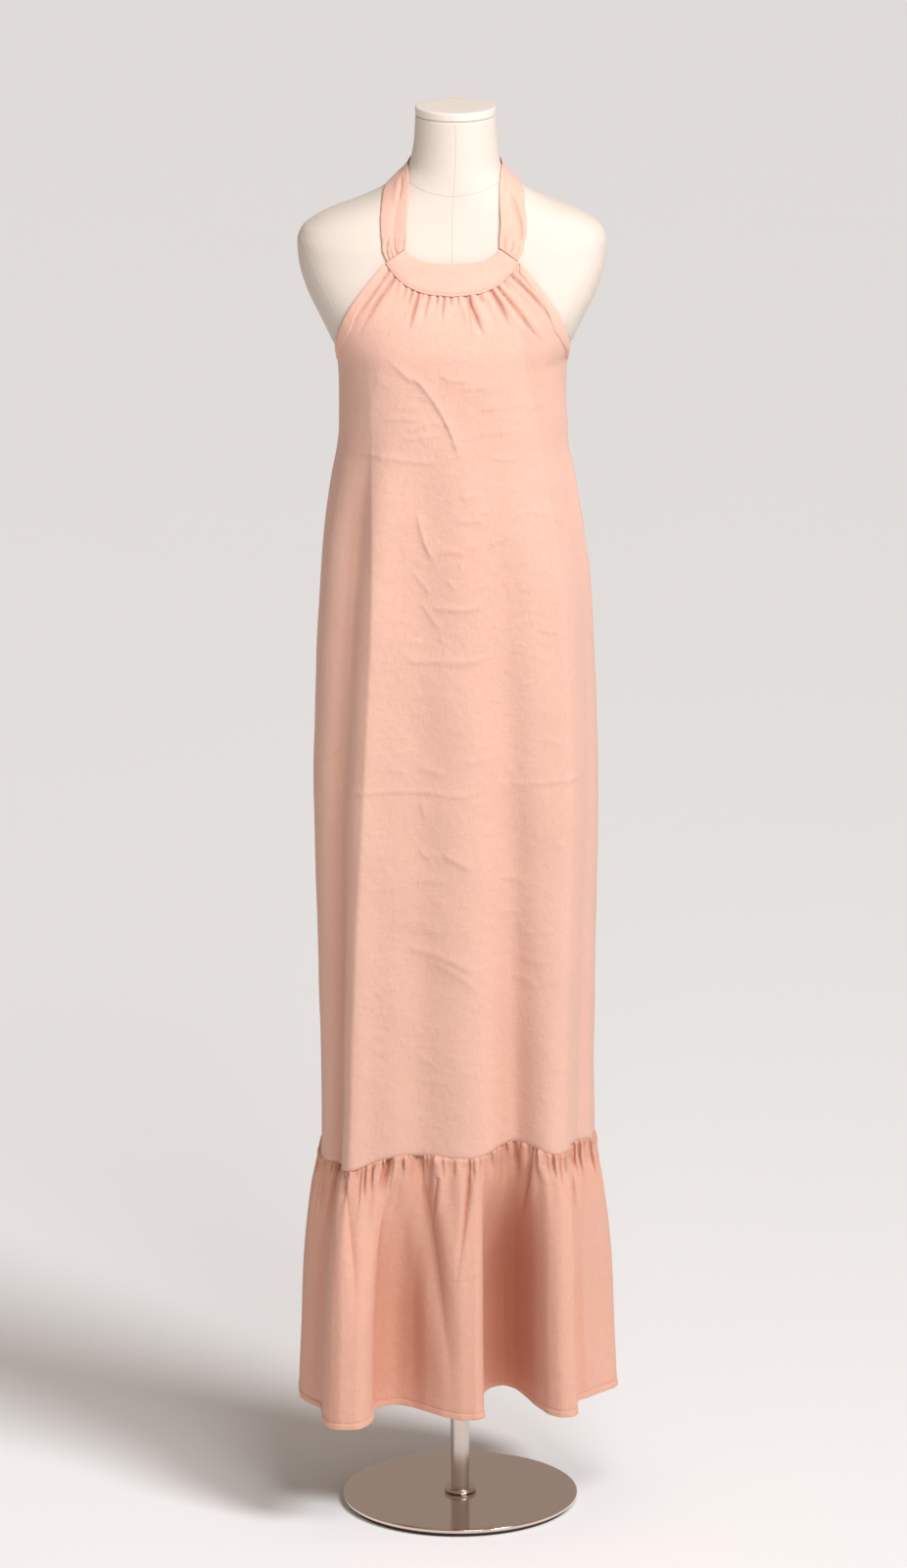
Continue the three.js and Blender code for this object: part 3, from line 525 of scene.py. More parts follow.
def roundedPath(path):
    # takes the corners off a path of three or more points
    path = np.array(path, float)
    if len(path) < 3:
        return path
    near = 0.75 * path[:-1] + 0.25 * path[1:]
    far = 0.25 * path[:-1] + 0.75 * path[1:]
    cut = np.stack([near, far], 1).reshape(-1, 2)
    return np.concatenate([path[:1], cut[1:-1], path[-1:]])


def pathDistance(x, z, path):
    # distance from the path, positive on its left, and the share of its length passed
    # its first and last stretch run on past their ends
    runOn = creaseShape["runOn"]
    steps = np.diff(path, axis=0)
    lengths = np.hypot(steps[:, 0], steps[:, 1])
    begun = np.concatenate([[0], np.cumsum(lengths)])
    nearest = np.full(x.shape, 1e9)
    side = np.ones(x.shape)
    share = np.zeros(x.shape)
    for i, (start, step, length) in enumerate(zip(path, steps, lengths)):
        dx = x - start[0]
        dz = z - start[1]
        t = (dx * step[0] + dz * step[1]) / length**2
        held = np.clip(t, -runOn if i == 0 else 0, 1 + runOn if i == len(steps) - 1 else 1)
        distance = np.hypot(dx - held * step[0], dz - held * step[1])
        closer = distance < nearest
        nearest = np.where(closer, distance, nearest)
        side = np.where(closer, np.where(step[0] * dz - step[1] * dx < 0, -1, 1), side)
        share = np.where(closer, (begun[i] + held * length) / begun[-1], share)
    return nearest * side, share


def lineRelief(x, z, lines, profile):
    # each line is worked out only where it still counts, within a few of its widths
    relief = np.zeros(x.shape)
    for size, sharp, soft, path in lines:
        path = roundedPath(path)
        reach = 5 * max(sharp, soft)
        low = path.min(0) - reach
        high = path.max(0) + reach
        near = (x > low[0]) & (x < high[0]) & (z > low[1]) & (z < high[1])
        if near.any():
            side, share = pathDistance(x[near], z[near], path)
            relief[near] += size * profile(side, share, sharp, soft)
    return relief


def creaseProfile(side, share, sharp, soft):
    # a pressed ridge, steep on the right of its path and easing off on the left
    taper = ease(share, *creaseShape["start"]) * (1 - ease(share, *creaseShape["end"]))
    return taper * np.where(side > 0, np.exp(-side / soft), np.exp(side / sharp))


def trough(side, width):
    return -np.exp(-((np.abs(side) / width) ** gatherShape["power"]))


def gatherProfile(side, share, sharp, soft):
    # a narrow trough that starts at the seam, with a soft puff on each side, fading along its path
    taper = 1 - ease(share, *gatherShape["end"])
    spread = 1 + gatherShape["spread"] * np.clip(share, 0, 1)
    place = gatherShape["puffPlace"] * soft
    left, right = gatherShape["puffs"]
    puff = left * crest(side - place, soft * spread) + right * crest(side + place, soft * spread)
    return taper * (trough(side, sharp * spread) + puff)


def smallLines(seed, count, spots, lengths, turns, sizes, sharp, soft):
    # many slight lines of uneven length, size and direction
    random = np.random.default_rng(seed)
    rows = []
    for _ in range(count):
        x, z = (random.uniform(*span) for span in spots)
        length = random.uniform(*lengths)
        turn = math.radians(random.uniform(*turns))
        size = random.uniform(*sizes)
        end = (x + length * math.cos(turn), z + length * math.sin(turn))
        middle = ((x + end[0]) / 2 + random.uniform(-2, 2), (z + end[1]) / 2 + random.uniform(-2, 2))
        rows.append((size, sharp, soft, ((x, z), middle, end)))
    return rows


# front panel

frontPanel = {
    "columns": 226,
    "rows": 367,
    "spacing": table(
        "depth step", (0, 1.9), (60, 2.2), (440, 2.7), (560, 3.3), (600, 2.5), (660, 3.3), (1040, 4)
    ),
    "sideCrowding": 0.4,
    "tuck": 3,
    "tuckDip": 1.6,
    "seamDip": 0.8,
    "wobbleFrom": (30, 120),
    "deepest": (-2.6, -4.5),
    "deepestOver": (60, 160),
    "gathers": [
        (3.1, 0.98, 2.6, ((-42, 1503), (-48, 1484), (-59, 1450))),
        (2.9, 0.98, 3.2, ((-67, 1521), (-88, 1494), (-103, 1471), (-120, 1438))),
        (1.4, 0.82, 2.0, ((-64, 1518), (-73, 1490))),
        (1.7, 0.90, 2.2, ((-30, 1501), (-35, 1484), (-40, 1464))),
        (1.4, 0.74, 1.8, ((-37, 1502), (-42, 1486))),
        (1.9, 0.82, 2.2, ((-49, 1506), (-57, 1484))),
        (1.4, 0.74, 1.8, ((-56, 1511), (-63, 1489))),
        (1.8, 0.82, 2.2, ((-14, 1499), (-18, 1464))),
        (1.6, 0.74, 1.8, ((-21, 1500), (-24, 1484))),
        (1.7, 0.74, 1.8, ((-6, 1498), (-7, 1484))),
        (1.4, 0.66, 1.6, ((2, 1498), (1, 1487))),
        (1.8, 0.74, 2.0, ((15, 1499), (15, 1478), (17, 1452))),
        (4.3, 1.48, 4.0, ((11, 1498), (20, 1478), (27, 1462), (33, 1447))),
        (2.2, 0.98, 2.2, ((24, 1500), (32, 1487))),
        (4.1, 1.39, 3.8, ((40, 1503), (51, 1484), (57, 1470), (63, 1455))),
        (3.6, 0.98, 3.0, ((46, 1507), (62, 1489), (80, 1466), (105, 1433))),
        (1.8, 0.82, 2.0, ((55, 1512), (63, 1499))),
        (3.1, 0.90, 2.8, ((64, 1517), (84, 1499), (101, 1479), (120, 1454))),
        (1.7, 0.82, 2.2, ((73, 1519), (86, 1506), (103, 1491))),
        (2.2, 0.82, 2.4, ((-75, 1527), (-93, 1501), (-109, 1480), (-130, 1450))),
    ],
    "creases": [
        (5.5, 9, 22, ((-104, 1420), (-97, 1350), (-95, 1240), (-98, 1105), (-104, 1005), (-112, 850),
                      (-120, 700), (-135, 200))),
        (0.8, 1.6, 5, ((-88, 1352), (-60, 1356), (-38, 1353))),
        (0.7, 1.5, 4, ((-72, 1367), (-40, 1369))),
        (0.8, 1.6, 5, ((-66, 1331), (-20, 1336))),
        (0.7, 1.5, 4, ((14, 1336), (58, 1341), (84, 1338))),
        (0.9, 1.6, 5, ((22, 1366), (62, 1369), (88, 1372))),
        (0.7, 1.6, 4, ((36, 1308), (70, 1306))),
        (1.9, 1.9, 6, ((-81, 1428), (-55, 1402), (-46, 1403), (-31, 1384), (-10, 1350), (7, 1298))),
        (1.2, 1.8, 5, ((-22, 1410), (-4, 1400), (18, 1401))),
        (1.0, 1.8, 5, ((3, 1393), (42, 1392))),
        (0.7, 1.6, 4, ((-3, 1426), (12, 1426))),
        (1.2, 1.7, 4, ((-123, 1304), (-102, 1311), (-47, 1304), (-16, 1303))),
        (0.8, 1.6, 4, ((-43, 1334), (-34, 1324))),
        (2.0, 2.6, 8, ((-46, 1246), (-41, 1215), (-27, 1184))),
        (1.0, 2.2, 6, ((-52, 1174), (-36, 1153))),
        (1.1, 2.4, 7, ((-43, 1138), (-33, 1122), (-16, 1099))),
        (0.9, 1.8, 5, ((-12, 1166), (-3, 1150))),
        (0.9, 1.8, 5, ((-57, 1340), (-30, 1352))),
        (0.8, 1.6, 4, ((-10, 1247), (-3, 1244))),
        (1.0, 1.7, 4, ((-4, 1234), (33, 1234))),
        (1.2, 1.7, 4, ((-23, 1196), (11, 1198))),
        (1.0, 2.0, 5, ((36, 1204), (65, 1218))),
        (0.8, 1.6, 4, ((66, 1239), (86, 1243))),
        (1.5, 1.8, 5, ((-35, 1129), (23, 1127), (31, 1142))),
        (0.9, 1.6, 4, ((-38, 1157), (-32, 1147))),
        (1.5, 1.8, 5, ((-69, 1065), (-14, 1065), (14, 1063), (46, 1076))),
        (0.9, 1.7, 4, ((103, 1231), (124, 1226))),
        (0.9, 1.7, 4, ((-54, 1004), (-39, 1002))),
        (0.9, 1.7, 4, ((-139, 1286), (-123, 1296))),
        (0.8, 1.7, 4, ((2, 1188), (5, 1173))),
        (1.1, 1.5, 3, ((-160, 900), (-115, 907), (-69, 909), (-33, 907), (3, 902), (29, 909), (62, 916))),
        (1.1, 1.5, 3, ((52, 914), (114, 917), (163, 920))),
        (1.1, 1.9, 4, ((-49, 938), (-16, 930))),
        (0.8, 1.9, 4, ((-13, 940), (49, 951))),
        (0.9, 1.9, 4, ((-44, 900), (-38, 874))),
        (1.0, 1.9, 4, ((-46, 844), (-40, 827), (-17, 830))),
        (1.7, 2.6, 8, ((-20, 833), (16, 813))),
        (0.8, 1.9, 4, ((-55, 799), (-10, 799))),
        (1.0, 2.0, 5, ((49, 804), (81, 794))),
        (0.8, 1.9, 4, ((45, 760), (75, 758))),
        (1.7, 2.4, 8, ((-63, 717), (-17, 707), (25, 685))),
        (1.3, 2.2, 6, ((-37, 702), (-7, 690), (25, 664))),
        (0.9, 2.0, 5, ((61, 681), (94, 668))),
        (1.1, 2.4, 5, ((-116, 600), (-87, 612))),
        (0.9, 2.4, 5, ((-51, 586), (-24, 571))),
        (0.8, 2.4, 5, ((-51, 531), (-20, 524))),
        (1.1, 2.0, 5, ((-157, 935), (-121, 972))),
        (5.5, 2.0, 8, ((172, 1030), (166, 1075), (147, 1177), (130, 1286), (119, 1400))),
        (0.7, 1.9, 4, ((-50, 738), (-17, 737))),
        (0.7, 1.9, 4, ((3, 739), (16, 739))),
    ],
    # slight lines: seed, count, spans of x and height, lengths, directions, sizes, steep and soft widths
    "small": [
        (5, 46, ((-95, 105), (1070, 1420)), (8, 34), (-28, 24), (0.25, 0.75), 1.7, 4),
        (8, 50, ((-120, 115), (500, 1050)), (8, 40), (-26, 22), (0.25, 0.75), 2.0, 5),
        (3, 16, ((-90, 100), (700, 1380)), (10, 34), (-110, -60), (0.2, 0.6), 2.0, 5),
    ],
    "seamGathers": {
        "seed": 21,
        "count": 26,
        "lengths": (3, 16),
        "sizes": (0.3, 1.5),
        "widths": (0.8, 1.6),
        "fan": 0.012,
        "scatter": 0.15,
    },
}


def frontTop(place):
    # angle and height of the panel's top edge; place runs from -1 to 1 and the neck seam is its middle
    side = np.abs(place)
    neck = dressCut["neckShare"]
    seamAngle = dressCut["seamAngle"]
    onNeck = side <= neck
    angle = np.where(onNeck, seamAngle * side / neck, mix(seamAngle, 90, (side - neck) / (1 - neck)))
    height = np.where(onNeck, neckSeamHeight(angle), armholeHeight(angle))
    return angle * np.sign(place), height


def frontSurface(place, height):
    topAngle, topHeight = frontTop(place)
    spread = ease(height, dressCut["spreadFrom"], topHeight)
    angle = mix(90 * place, topAngle, spread)
    return foldedPoint(angle, height, skirtFold(angle, height))


def softWobble(x, z):
    # slow unevenness of the cloth between its creases
    broad = 0.5 * np.sin(x / 31 + z / 97 + 1) * np.sin(z / 58 - x / 83)
    return broad + 0.35 * np.sin(z / 23 + x / 19 + 2)


def spacedRows(spacing, count):
    # shares of the depth for rows that stand as far apart as the table of steps says
    depth = np.linspace(0, spacing["depth"][-1], 600)
    rate = 1 / np.interp(depth, spacing["depth"], spacing["step"])
    passed = np.concatenate([[0], np.cumsum((rate[1:] + rate[:-1]) / 2)])
    return np.interp(np.linspace(0, passed[-1], count), passed, depth / depth[-1])


def seamGatherLines(spec):
    # short uneven gathers fanned out under the neck seam
    random = np.random.default_rng(spec["seed"])
    rows = []
    for i in range(spec["count"]):
        angle = dressCut["seamAngle"] * (-1 + 2 * (i + random.uniform(0.1, 0.9)) / spec["count"])
        start = sectionPoint(dressCurves, angle, neckSeamHeight(abs(angle)))
        length = random.uniform(*spec["lengths"])
        lean = spec["fan"] * start[0] + random.uniform(-spec["scatter"], spec["scatter"])
        end = (start[0] + lean * length, start[2] - length)
        rows.append((random.uniform(*spec["sizes"]), *spec["widths"], ((start[0], start[2] + 2), end)))
    return rows


def makeFront():
    spec = frontPanel
    share = np.linspace(-1, 1, spec["columns"])[None, :]
    crowding = spec["sideCrowding"]
    place = (1 - crowding) * share + crowding * share * np.abs(share) ** 3
    topAngle, topHeight = frontTop(place)
    low = ruffleSeamHeight(90 * place) - spec["tuck"]
    height = mix(topHeight, low, spacedRows(spec["spacing"], spec["rows"])[:, None])
    points = frontSurface(place, height)
    x = points[..., 0]
    below = topHeight - height
    gathers = spec["gathers"] + seamGatherLines(spec["seamGathers"])
    relief = lineRelief(x, height, gathers, gatherProfile) * ease(below, -4, 4)
    creases = spec["creases"] + [line for small in spec["small"] for line in smallLines(*small)]
    relief += lineRelief(x, height, creases, creaseProfile) * ease(-points[..., 1], *dressCut["sideFade"])
    relief += softWobble(x, height) * ease(below, *spec["wobbleFrom"])
    onNeck = np.abs(place) < dressCut["neckShare"]
    relief -= spec["seamDip"] * ease(below, dressCut["seamReach"], 0) * onNeck
    relief = np.maximum(relief, mix(*spec["deepest"], ease(below, *spec["deepestOver"])))
    relief -= spec["tuckDip"] * ease(height - low, dressCut["seamReach"], 0)
    piece = shellSheet("frontPanel", points, relief)[0]
    settle(piece, "dress_front")
    return piece


# back panel, as plain as the front, with a few creases of its own

backPanel = {
    "columns": 150,
    "rows": 200,
    "topCrowding": 1.2,
    "tuck": 3,
    "tuckDip": 1.6,
    "wobbleFrom": (10, 90),
    "wobbleShift": 40,
    "creases": [
        (1.6, 2.6, 7, ((-90, 1330), (-58, 1311), (-20, 1300))),
        (1.5, 2.6, 7, ((20, 1290), (61, 1311), (95, 1322))),
        (1.3, 2.4, 6, ((-60, 1215), (-12, 1205), (40, 1205))),
        (1.1, 2.4, 6, ((-110, 1120), (-72, 1116), (-30, 1100))),
        (1.1, 2.4, 6, ((30, 1090), (68, 1102), (110, 1120))),
        (1.0, 2.0, 4, ((-150, 912), (-70, 906), (0, 905), (70, 911), (150, 913))),
        (1.3, 2.6, 6, ((-80, 830), (-46, 820), (-20, 800))),
        (1.1, 2.6, 6, ((30, 760), (66, 744), (95, 735))),
        (1.3, 2.6, 7, ((-40, 680), (2, 674), (35, 655))),
        (1.0, 2.6, 6, ((-120, 610), (-70, 590))),
        (1.0, 2.6, 6, ((60, 590), (115, 560))),
        (1.6, 4, 9, ((-70, 1262), (-58, 1198))),
        (1.2, 2.4, 6, ((10, 1010), (58, 1001))),
        (1.1, 2.4, 6, ((-92, 985), (-40, 1001))),
    ],
}


def makeBack():
    spec = backPanel
    angle = np.linspace(90, 270, spec["columns"])[None, :]
    turn = wrapAngle(angle)
    share = (np.linspace(0, 1, spec["rows"]) ** spec["topCrowding"])[:, None]
    low = ruffleSeamHeight(turn) - spec["tuck"]
    height = mix(dressCut["backTop"], low, share)
    points = foldedPoint(angle, height, skirtFold(turn, height))
    x = points[..., 0]
    below = dressCut["backTop"] - height
    relief = lineRelief(-x, height, spec["creases"], creaseProfile)
    relief += softWobble(x + spec["wobbleShift"], height) * ease(below, *spec["wobbleFrom"])
    relief *= ease(points[..., 1], *dressCut["sideFade"])
    relief -= spec["tuckDip"] * ease(height - low, dressCut["seamReach"], 0)
    piece = clothSheet("backPanel", points + gridNormals(points) * relief[..., None])
    settle(piece, "dress_back")
    return piece


# ruffle: large folds from the tables, with gathers of uneven length under its seam and a turned hem

ruffle = {
    "frontColumns": 541,
    "frontRows": 151,
    "backColumns": 361,
    "backRows": 121,
    "grownBy": 0.66,
    "rowShares": (0, 0.29, 0.92, 1),
    "rowDepths": (0, 0.19, 0.968, 1),
    "tuckDip": 2.0,
    "tuckReach": 4.5,
    "waves": 58,
    "waveHeight": 1.5,
    "waveRise": 14,
    "waveReach": 95,
    "gathers": {"seed": 11, "count": 96, "length": (14, 60), "width": (0.45, 1.0), "depth": (0.8, 3.2)},
    "tinyGathers": {"seed": 4, "count": 190, "length": (5, 17), "width": (0.3, 0.6), "depth": (0.4, 1.7)},
    "gatherScatter": 0.4,
    "gatherShare": (0.6, 1.3),
    "gatherLean": 0.03,
    "gatherPuff": 0.7,
    "gatherSpread": 0.02,
    "wobble": 0.6,
    "wobbleFrom": (10, 60),
    "wobbleShift": 70,
    "hemWidth": 7.5,
    "hemStep": 0.6,
    "hemGroove": 0.8,
    "hemRipple": 0.3,
    "lines": [
        (2.2, 1.5, 3.0, ((-138, 454), (-142, 425))),
        (1.4, 1.2, 2.4, ((-125, 452), (-120, 433))),
        (2.2, 3.2, 6.0, ((-134, 425), (-126, 350), (-123, 313), (-121, 250))),
        (7.0, 2.6, 6.5, ((-79, 468), (-87, 442), (-98, 402))),
        (2.8, 1.6, 3.4, ((-33, 464), (-37, 424))),
        (2.4, 1.4, 3.0, ((-27, 422), (-34, 380))),
        (6.0, 6.5, 10.0, ((-47, 462), (-37, 388), (-23, 282), (-5, 150))),
        (3.4, 1.1, 3.4, ((13, 468), (9, 402), (-2, 325), (-5, 296))),
        (0.8, 1.1, 2.0, ((-2, 313), (-17, 312))),
        (1.6, 1.2, 2.4, ((51, 474), (50, 456))),
        (3.2, 1.4, 3.0, ((65, 477), (69, 436))),
        (1.8, 1.3, 2.6, ((81, 469), (80, 418))),
        (5.0, 1.9, 4.5, ((86, 467), (77, 412), (72, 370))),
        (1.8, 1.2, 2.4, ((100, 465), (97, 444))),
        (1.4, 1.1, 2.2, ((91, 466), (95, 448))),
        (1.7, 1.3, 2.6, ((127, 466), (135, 428))),
        (3.0, 1.6, 3.6, ((135, 464), (137, 345))),
        (1.6, 1.3, 2.6, ((154, 458), (160, 416))),
        (1.4, 1.2, 2.4, ((164, 458), (168, 422))),
        (1.8, 1.5, 3.0, ((-157, 447), (-164, 388))),
        (1.5, 1.2, 2.4, ((-148, 446), (-151, 418))),
        (1.8, 1.5, 3.0, ((-154, 440), (-169, 355))),
        (1.6, 1.2, 2.4, ((-71, 466), (-65, 443))),
        (1.3, 1.1, 2.0, ((-60, 467), (-58, 452))),
        (1.5, 1.1, 2.2, ((-47, 466), (-44, 450))),
        (1.2, 1.0, 2.0, ((-40, 466), (-37, 457))),
        (1.2, 1.0, 2.0, ((-11, 466), (-9, 454))),
        (1.2, 1.0, 2.0, ((5, 466), (6, 454))),
    ],
}


def ruffleGathers(spec):
    # angle, length, width, depth and lean of each short gather round the seam
    random = np.random.default_rng(spec["seed"])
    count = spec["count"]
    scatter = ruffle["gatherScatter"]
    lean = ruffle["gatherLean"]
    spot = (np.arange(count) + random.uniform(-scatter, scatter, count)) * 360 / count - 180
    length = random.uniform(*spec["length"], count) * random.uniform(*ruffle["gatherShare"], count)
    width = random.uniform(*spec["width"], count)
    depth = random.uniform(*spec["depth"], count)
    drift = random.uniform(-lean, lean, count)
    return list(zip(spot, length, width, depth, drift))


gatherRows = ruffleGathers(ruffle["gathers"]) + ruffleGathers(ruffle["tinyGathers"])


def shortGathers(angle, belowSeam):
    # a trough with a puff beside it for each gather, widening and fading downwards
    out = np.zeros(np.broadcast(angle, belowSeam).shape)
    for spot, length, width, depth, drift in gatherRows:
        distance = wrapAngle(angle - spot - drift * belowSeam)
        spread = width * (1 + ruffle["gatherSpread"] * belowSeam)
        reach = ease(belowSeam, -3, 4) * (1 - ease(belowSeam, 0.35 * length, length))
        shape = ruffle["gatherPuff"] * crest(distance - spread, spread) - crest(distance, 0.5 * spread)
        out += depth * reach * shape
    return out


def ruffleGrid(angle, down):
    # from the seam, with its small waves, to the large folds of the hem
    turn = wrapAngle(angle)
    fullTurn = np.where(turn < -90, turn + 360, turn)
    top = ruffleSeamHeight(turn)
    low = hemCurves["height"](fullTurn)
    height = mix(top, low, down)
    below = top - height
    out = skirtFold(turn, top) * (1 - ease(down, 0, 0.7))
    wave = ease(below, -4, ruffle["waveRise"]) * (1 - ease(below, 30, ruffle["waveReach"]))
    out = out + ruffle["waveHeight"] * wave * unevenWave(turn / 360, ruffle["waves"])
    points = foldedPoint(angle, height, out)
    section = sectionPoint(dressCurves, angle, low)
    grown = ease(down, -0.05, ruffle["grownBy"])
    points[..., 0] += grown * (hemCurves["x"](fullTurn) - section[..., 0])
    points[..., 1] += grown * (hemCurves["y"](fullTurn) - section[..., 1])
    return points, below, height - low


def ruffleRows(count):
    # close rows under the seam and at the hem
    return np.interp(np.linspace(0, 1, count), ruffle["rowShares"], ruffle["rowDepths"])


def makeRuffle(name, start, end, columns, rows, node):
    angle = np.linspace(start, end, columns)[None, :]
    points, below, aboveHem = ruffleGrid(angle, ruffleRows(rows)[:, None])
    relief = shortGathers(wrapAngle(angle), below)
    x = points[..., 0]
    z = points[..., 2]
    if start < 0:
        relief += lineRelief(x, z, ruffle["lines"], gatherProfile)
    relief *= ease(below, -2, 3)
    wobble = softWobble(x + ruffle["wobbleShift"], z) * ruffle["wobble"]
    relief += wobble * ease(below, *ruffle["wobbleFrom"])
    relief -= ruffle["tuckDip"] * ease(below, ruffle["tuckReach"], 0)
    hem = ruffle["hemWidth"]
    relief += ruffle["hemStep"] * ease(aboveHem, hem + 1.2, hem - 1)
    relief -= ruffle["hemGroove"] * crest(aboveHem - hem, 1.1)
    ripple = np.sin(x / 5.3 + 2 * np.sin(x / 17)) * ruffle["hemRipple"]
    relief += ripple * ease(aboveHem, hem + 3, 0)
    piece, outer = shellSheet(name, points, relief)
    settle(piece, node)
    row = int(np.argmin(np.abs(aboveHem[:, columns // 2] - hem)))
    return piece, stitchRow(name + "Stitches", outer[row], gridNormals(outer)[row], "hem")


frontPiece = makeFront()
backPiece = makeBack()
frontSize = (ruffle["frontColumns"], ruffle["frontRows"])
backSize = (ruffle["backColumns"], ruffle["backRows"])
ruffleFrontPiece, hemFrontThread = makeRuffle("ruffleFront", -90, 90, *frontSize, "ruffle_front")
ruffleBackPiece, hemBackThread = makeRuffle("ruffleBack", 90, 270, *backSize, "ruffle_back")
print("panels and ruffle made")


# neck band

neckBand = {
    "ease": 0.9,
    "half": 1.1,
    "columns": 150,
    "rows": 22,
    "down": 1.03,
    "stitchDown": 0.93,
    "stitchDip": 0.5,
}


def makeBand():
    spec = neckBand
    across = np.linspace(-1, 1, spec["columns"])[:, None]
    down = np.linspace(0, spec["down"], spec["rows"])[None, :]
    topAngle = dressCut["bandAngle"] * across
    seamAngle = dressCut["seamAngle"] * across
    angle = mix(topAngle, seamAngle, down)
    height = mix(bandTopHeight(np.abs(topAngle)), neckSeamHeight(np.abs(seamAngle)), down)
    points = sectionPoint(dressCurves, angle, height)
    points[..., 1] -= spec["ease"]
    outward = pointing(gridNormals(points), (0, -1, 0))
    x = points[..., 0]
    soft = 0.3 * np.sin(x / 6 + 3 * down) * crest(down - 1, 0.25)
    soft += 0.35 * np.sin(x / 13 + 1.2) * crest(down - 0.35, 0.3)
    soft -= spec["stitchDip"] * crest(down - spec["stitchDown"], 0.035)
    points = points + outward * soft[..., None]
    uv = np.stack([points[..., 0], points[..., 2]], -1)
    piece = roundStrip("neckBand", points, outward, spec["half"], uv)
    settle(piece, "neck_band")
    column = int(round(spec["stitchDown"] / spec["down"] * (spec["rows"] - 1)))
    line = (points + outward * spec["half"])[:, column]
    return piece, stitchRow("bandStitches", line, outward[:, column], "edge")


# straps: gathered at the band, flat over the shoulder and round the nape
# folds: start station and share of the width, end station and share, depth, width, puff

straps = {
    "half": 0.9,
    "lift": 1.9,
    "columns": 220,
    "rows": 46,
    "width": 25,
    "inside": (0, 0, 1400),
    "foldStart": (-0.25, 0.15),
    "foldEnd": (0.6, 1.15),
    "puff": 0.6,
    "puffPlace": 1.7,
    "leftFolds": [
        (1.2, 0.80, 3.7, 0.50, 3.2, 1.1, 3.0),
        (0.1, 0.24, 0.9, 0.20, 1.1, 0.9, 1.8),
        (0.1, 0.52, 0.8, 0.56, 1.0, 0.9, 1.8),
        (0.1, 0.78, 0.7, 0.80, 0.8, 0.8, 1.6),
        (3.6, 0.30, 5.4, 0.26, 0.9, 1.4, 2.6),
    ],
    "rightFolds": [
        (0.0, 0.90, 1.1, 0.72, 1.7, 1.0, 2.4),
        (0.0, 0.47, 0.9, 0.50, 1.5, 0.9, 2.0),
        (0.0, 0.15, 0.8, 0.11, 1.3, 0.9, 1.8),
        (0.8, 0.52, 3.2, 0.42, 0.7, 2.6, 4.0),
        (3.2, 0.36, 4.9, 0.30, 1.2, 1.2, 2.4),
        (0.0, 0.68, 0.6, 0.66, 0.8, 0.8, 1.6),
    ],
    "backFolds": [(6.2, 0.4, 9.6, 0.55, 0.8, 1.6, 3.0), (7.5, 0.75, 10, 0.7, 0.6, 1.4, 2.6)],
    "innerLift": {"station": 1.4, "reach": 1.1, "height": 2.2},
    "leftDrift": {"station": 1.9, "reach": 1.3, "angle": 1.5},
    "deepest": -1,
    "edgePower": 0.3,
    "cut": (32, 24),
}


def mirrored(points, outward, centre):
    # the same strip on the wearer's right
    points[..., 0] = 2 * centre - points[..., 0]
    outward[..., 0] *= -1
    return points[::-1], outward[::-1]


def strapFolds(station, across, folds):
    relief = 0 * station * across
    for start, startAcross, end, endAcross, depth, width, puff in folds:
        share = (station - start) / (end - start)
        middle = mix(startAcross, endAcross, np.clip(share, 0, 1))
        side = (across - middle) * straps["width"]
        taper = ease(share, *straps["foldStart"]) * (1 - ease(share, *straps["foldEnd"]))
        raised = straps["puff"] * crest(side - straps["puffPlace"] * puff, puff)
        relief = relief + depth * taper * (trough(side, width) + raised)
    return relief


def makeStrap(name, side, folds, node):
    # side is 1 for the wearer's left and -1 for the right
    spec = straps
    station = np.linspace(0, strapTable["station"][-1], spec["columns"])[:, None]
    across = np.linspace(0, 1, spec["rows"])[None, :]
    angle = mix(strapCurves["upperAngle"](station), strapCurves["lowerAngle"](station), across)
    height = mix(strapCurves["upperHeight"](station), strapCurves["lowerHeight"](station), across)
    if side > 0:
        drift = spec["leftDrift"]
        angle = angle + drift["angle"] * crest(station - drift["station"], drift["reach"])
    points = sectionPoint(formCurves, angle, height)
    outward = pointing(gridNormals(points), points - spec["inside"])
    edges = np.sin(np.pi * across) ** spec["edgePower"]
    relief = strapFolds(station, across, folds + spec["backFolds"]) * edges
    rise = spec["innerLift"]
    relief = relief + rise["height"] * crest(station - rise["station"], rise["reach"]) * (1 - across) ** 2
    relief = spec["lift"] + np.maximum(relief, spec["deepest"])
    points = points + outward * relief[..., None]
    uv = np.stack(np.broadcast_arrays(across * spec["cut"][0], station * spec["cut"][1]), -1)
    if side < 0:
        points, outward = mirrored(points, outward, formCurves["centre"](height))
    piece = roundStrip(name, points, outward, spec["half"], uv)
    settle(piece, node)
    return piece


# bindings folded over the armhole edges and the back edge

binding = {
    "width": 7,
    "half": 0.85,
    "columns": 110,
    "backColumns": 160,
    "rows": 12,
    "over": -0.12,
    "lift": 0.15,
    "backLift": 0.35,
    "stitchShare": 0.76,
    "stitchLift": 0.9,
    "start": 0.002,
    "edgeLength": 300,
    "lengthPerDegree": 2,
}


def alongEdge(place):
    # how far down the binding reaches for each millimetre of its width where the armhole edge is steep
    step = 0.004
    angleBefore, before = frontTop(np.clip(place - step, dressCut["neckShare"], 1))
    angleAfter, after = frontTop(np.clip(place + step, dressCut["neckShare"], 1))
    run = sectionPoint(dressCurves, angleAfter, after) - sectionPoint(dressCurves, angleBefore, before)
    return np.hypot(1, (after - before) / np.linalg.norm(run[..., :2], axis=-1))


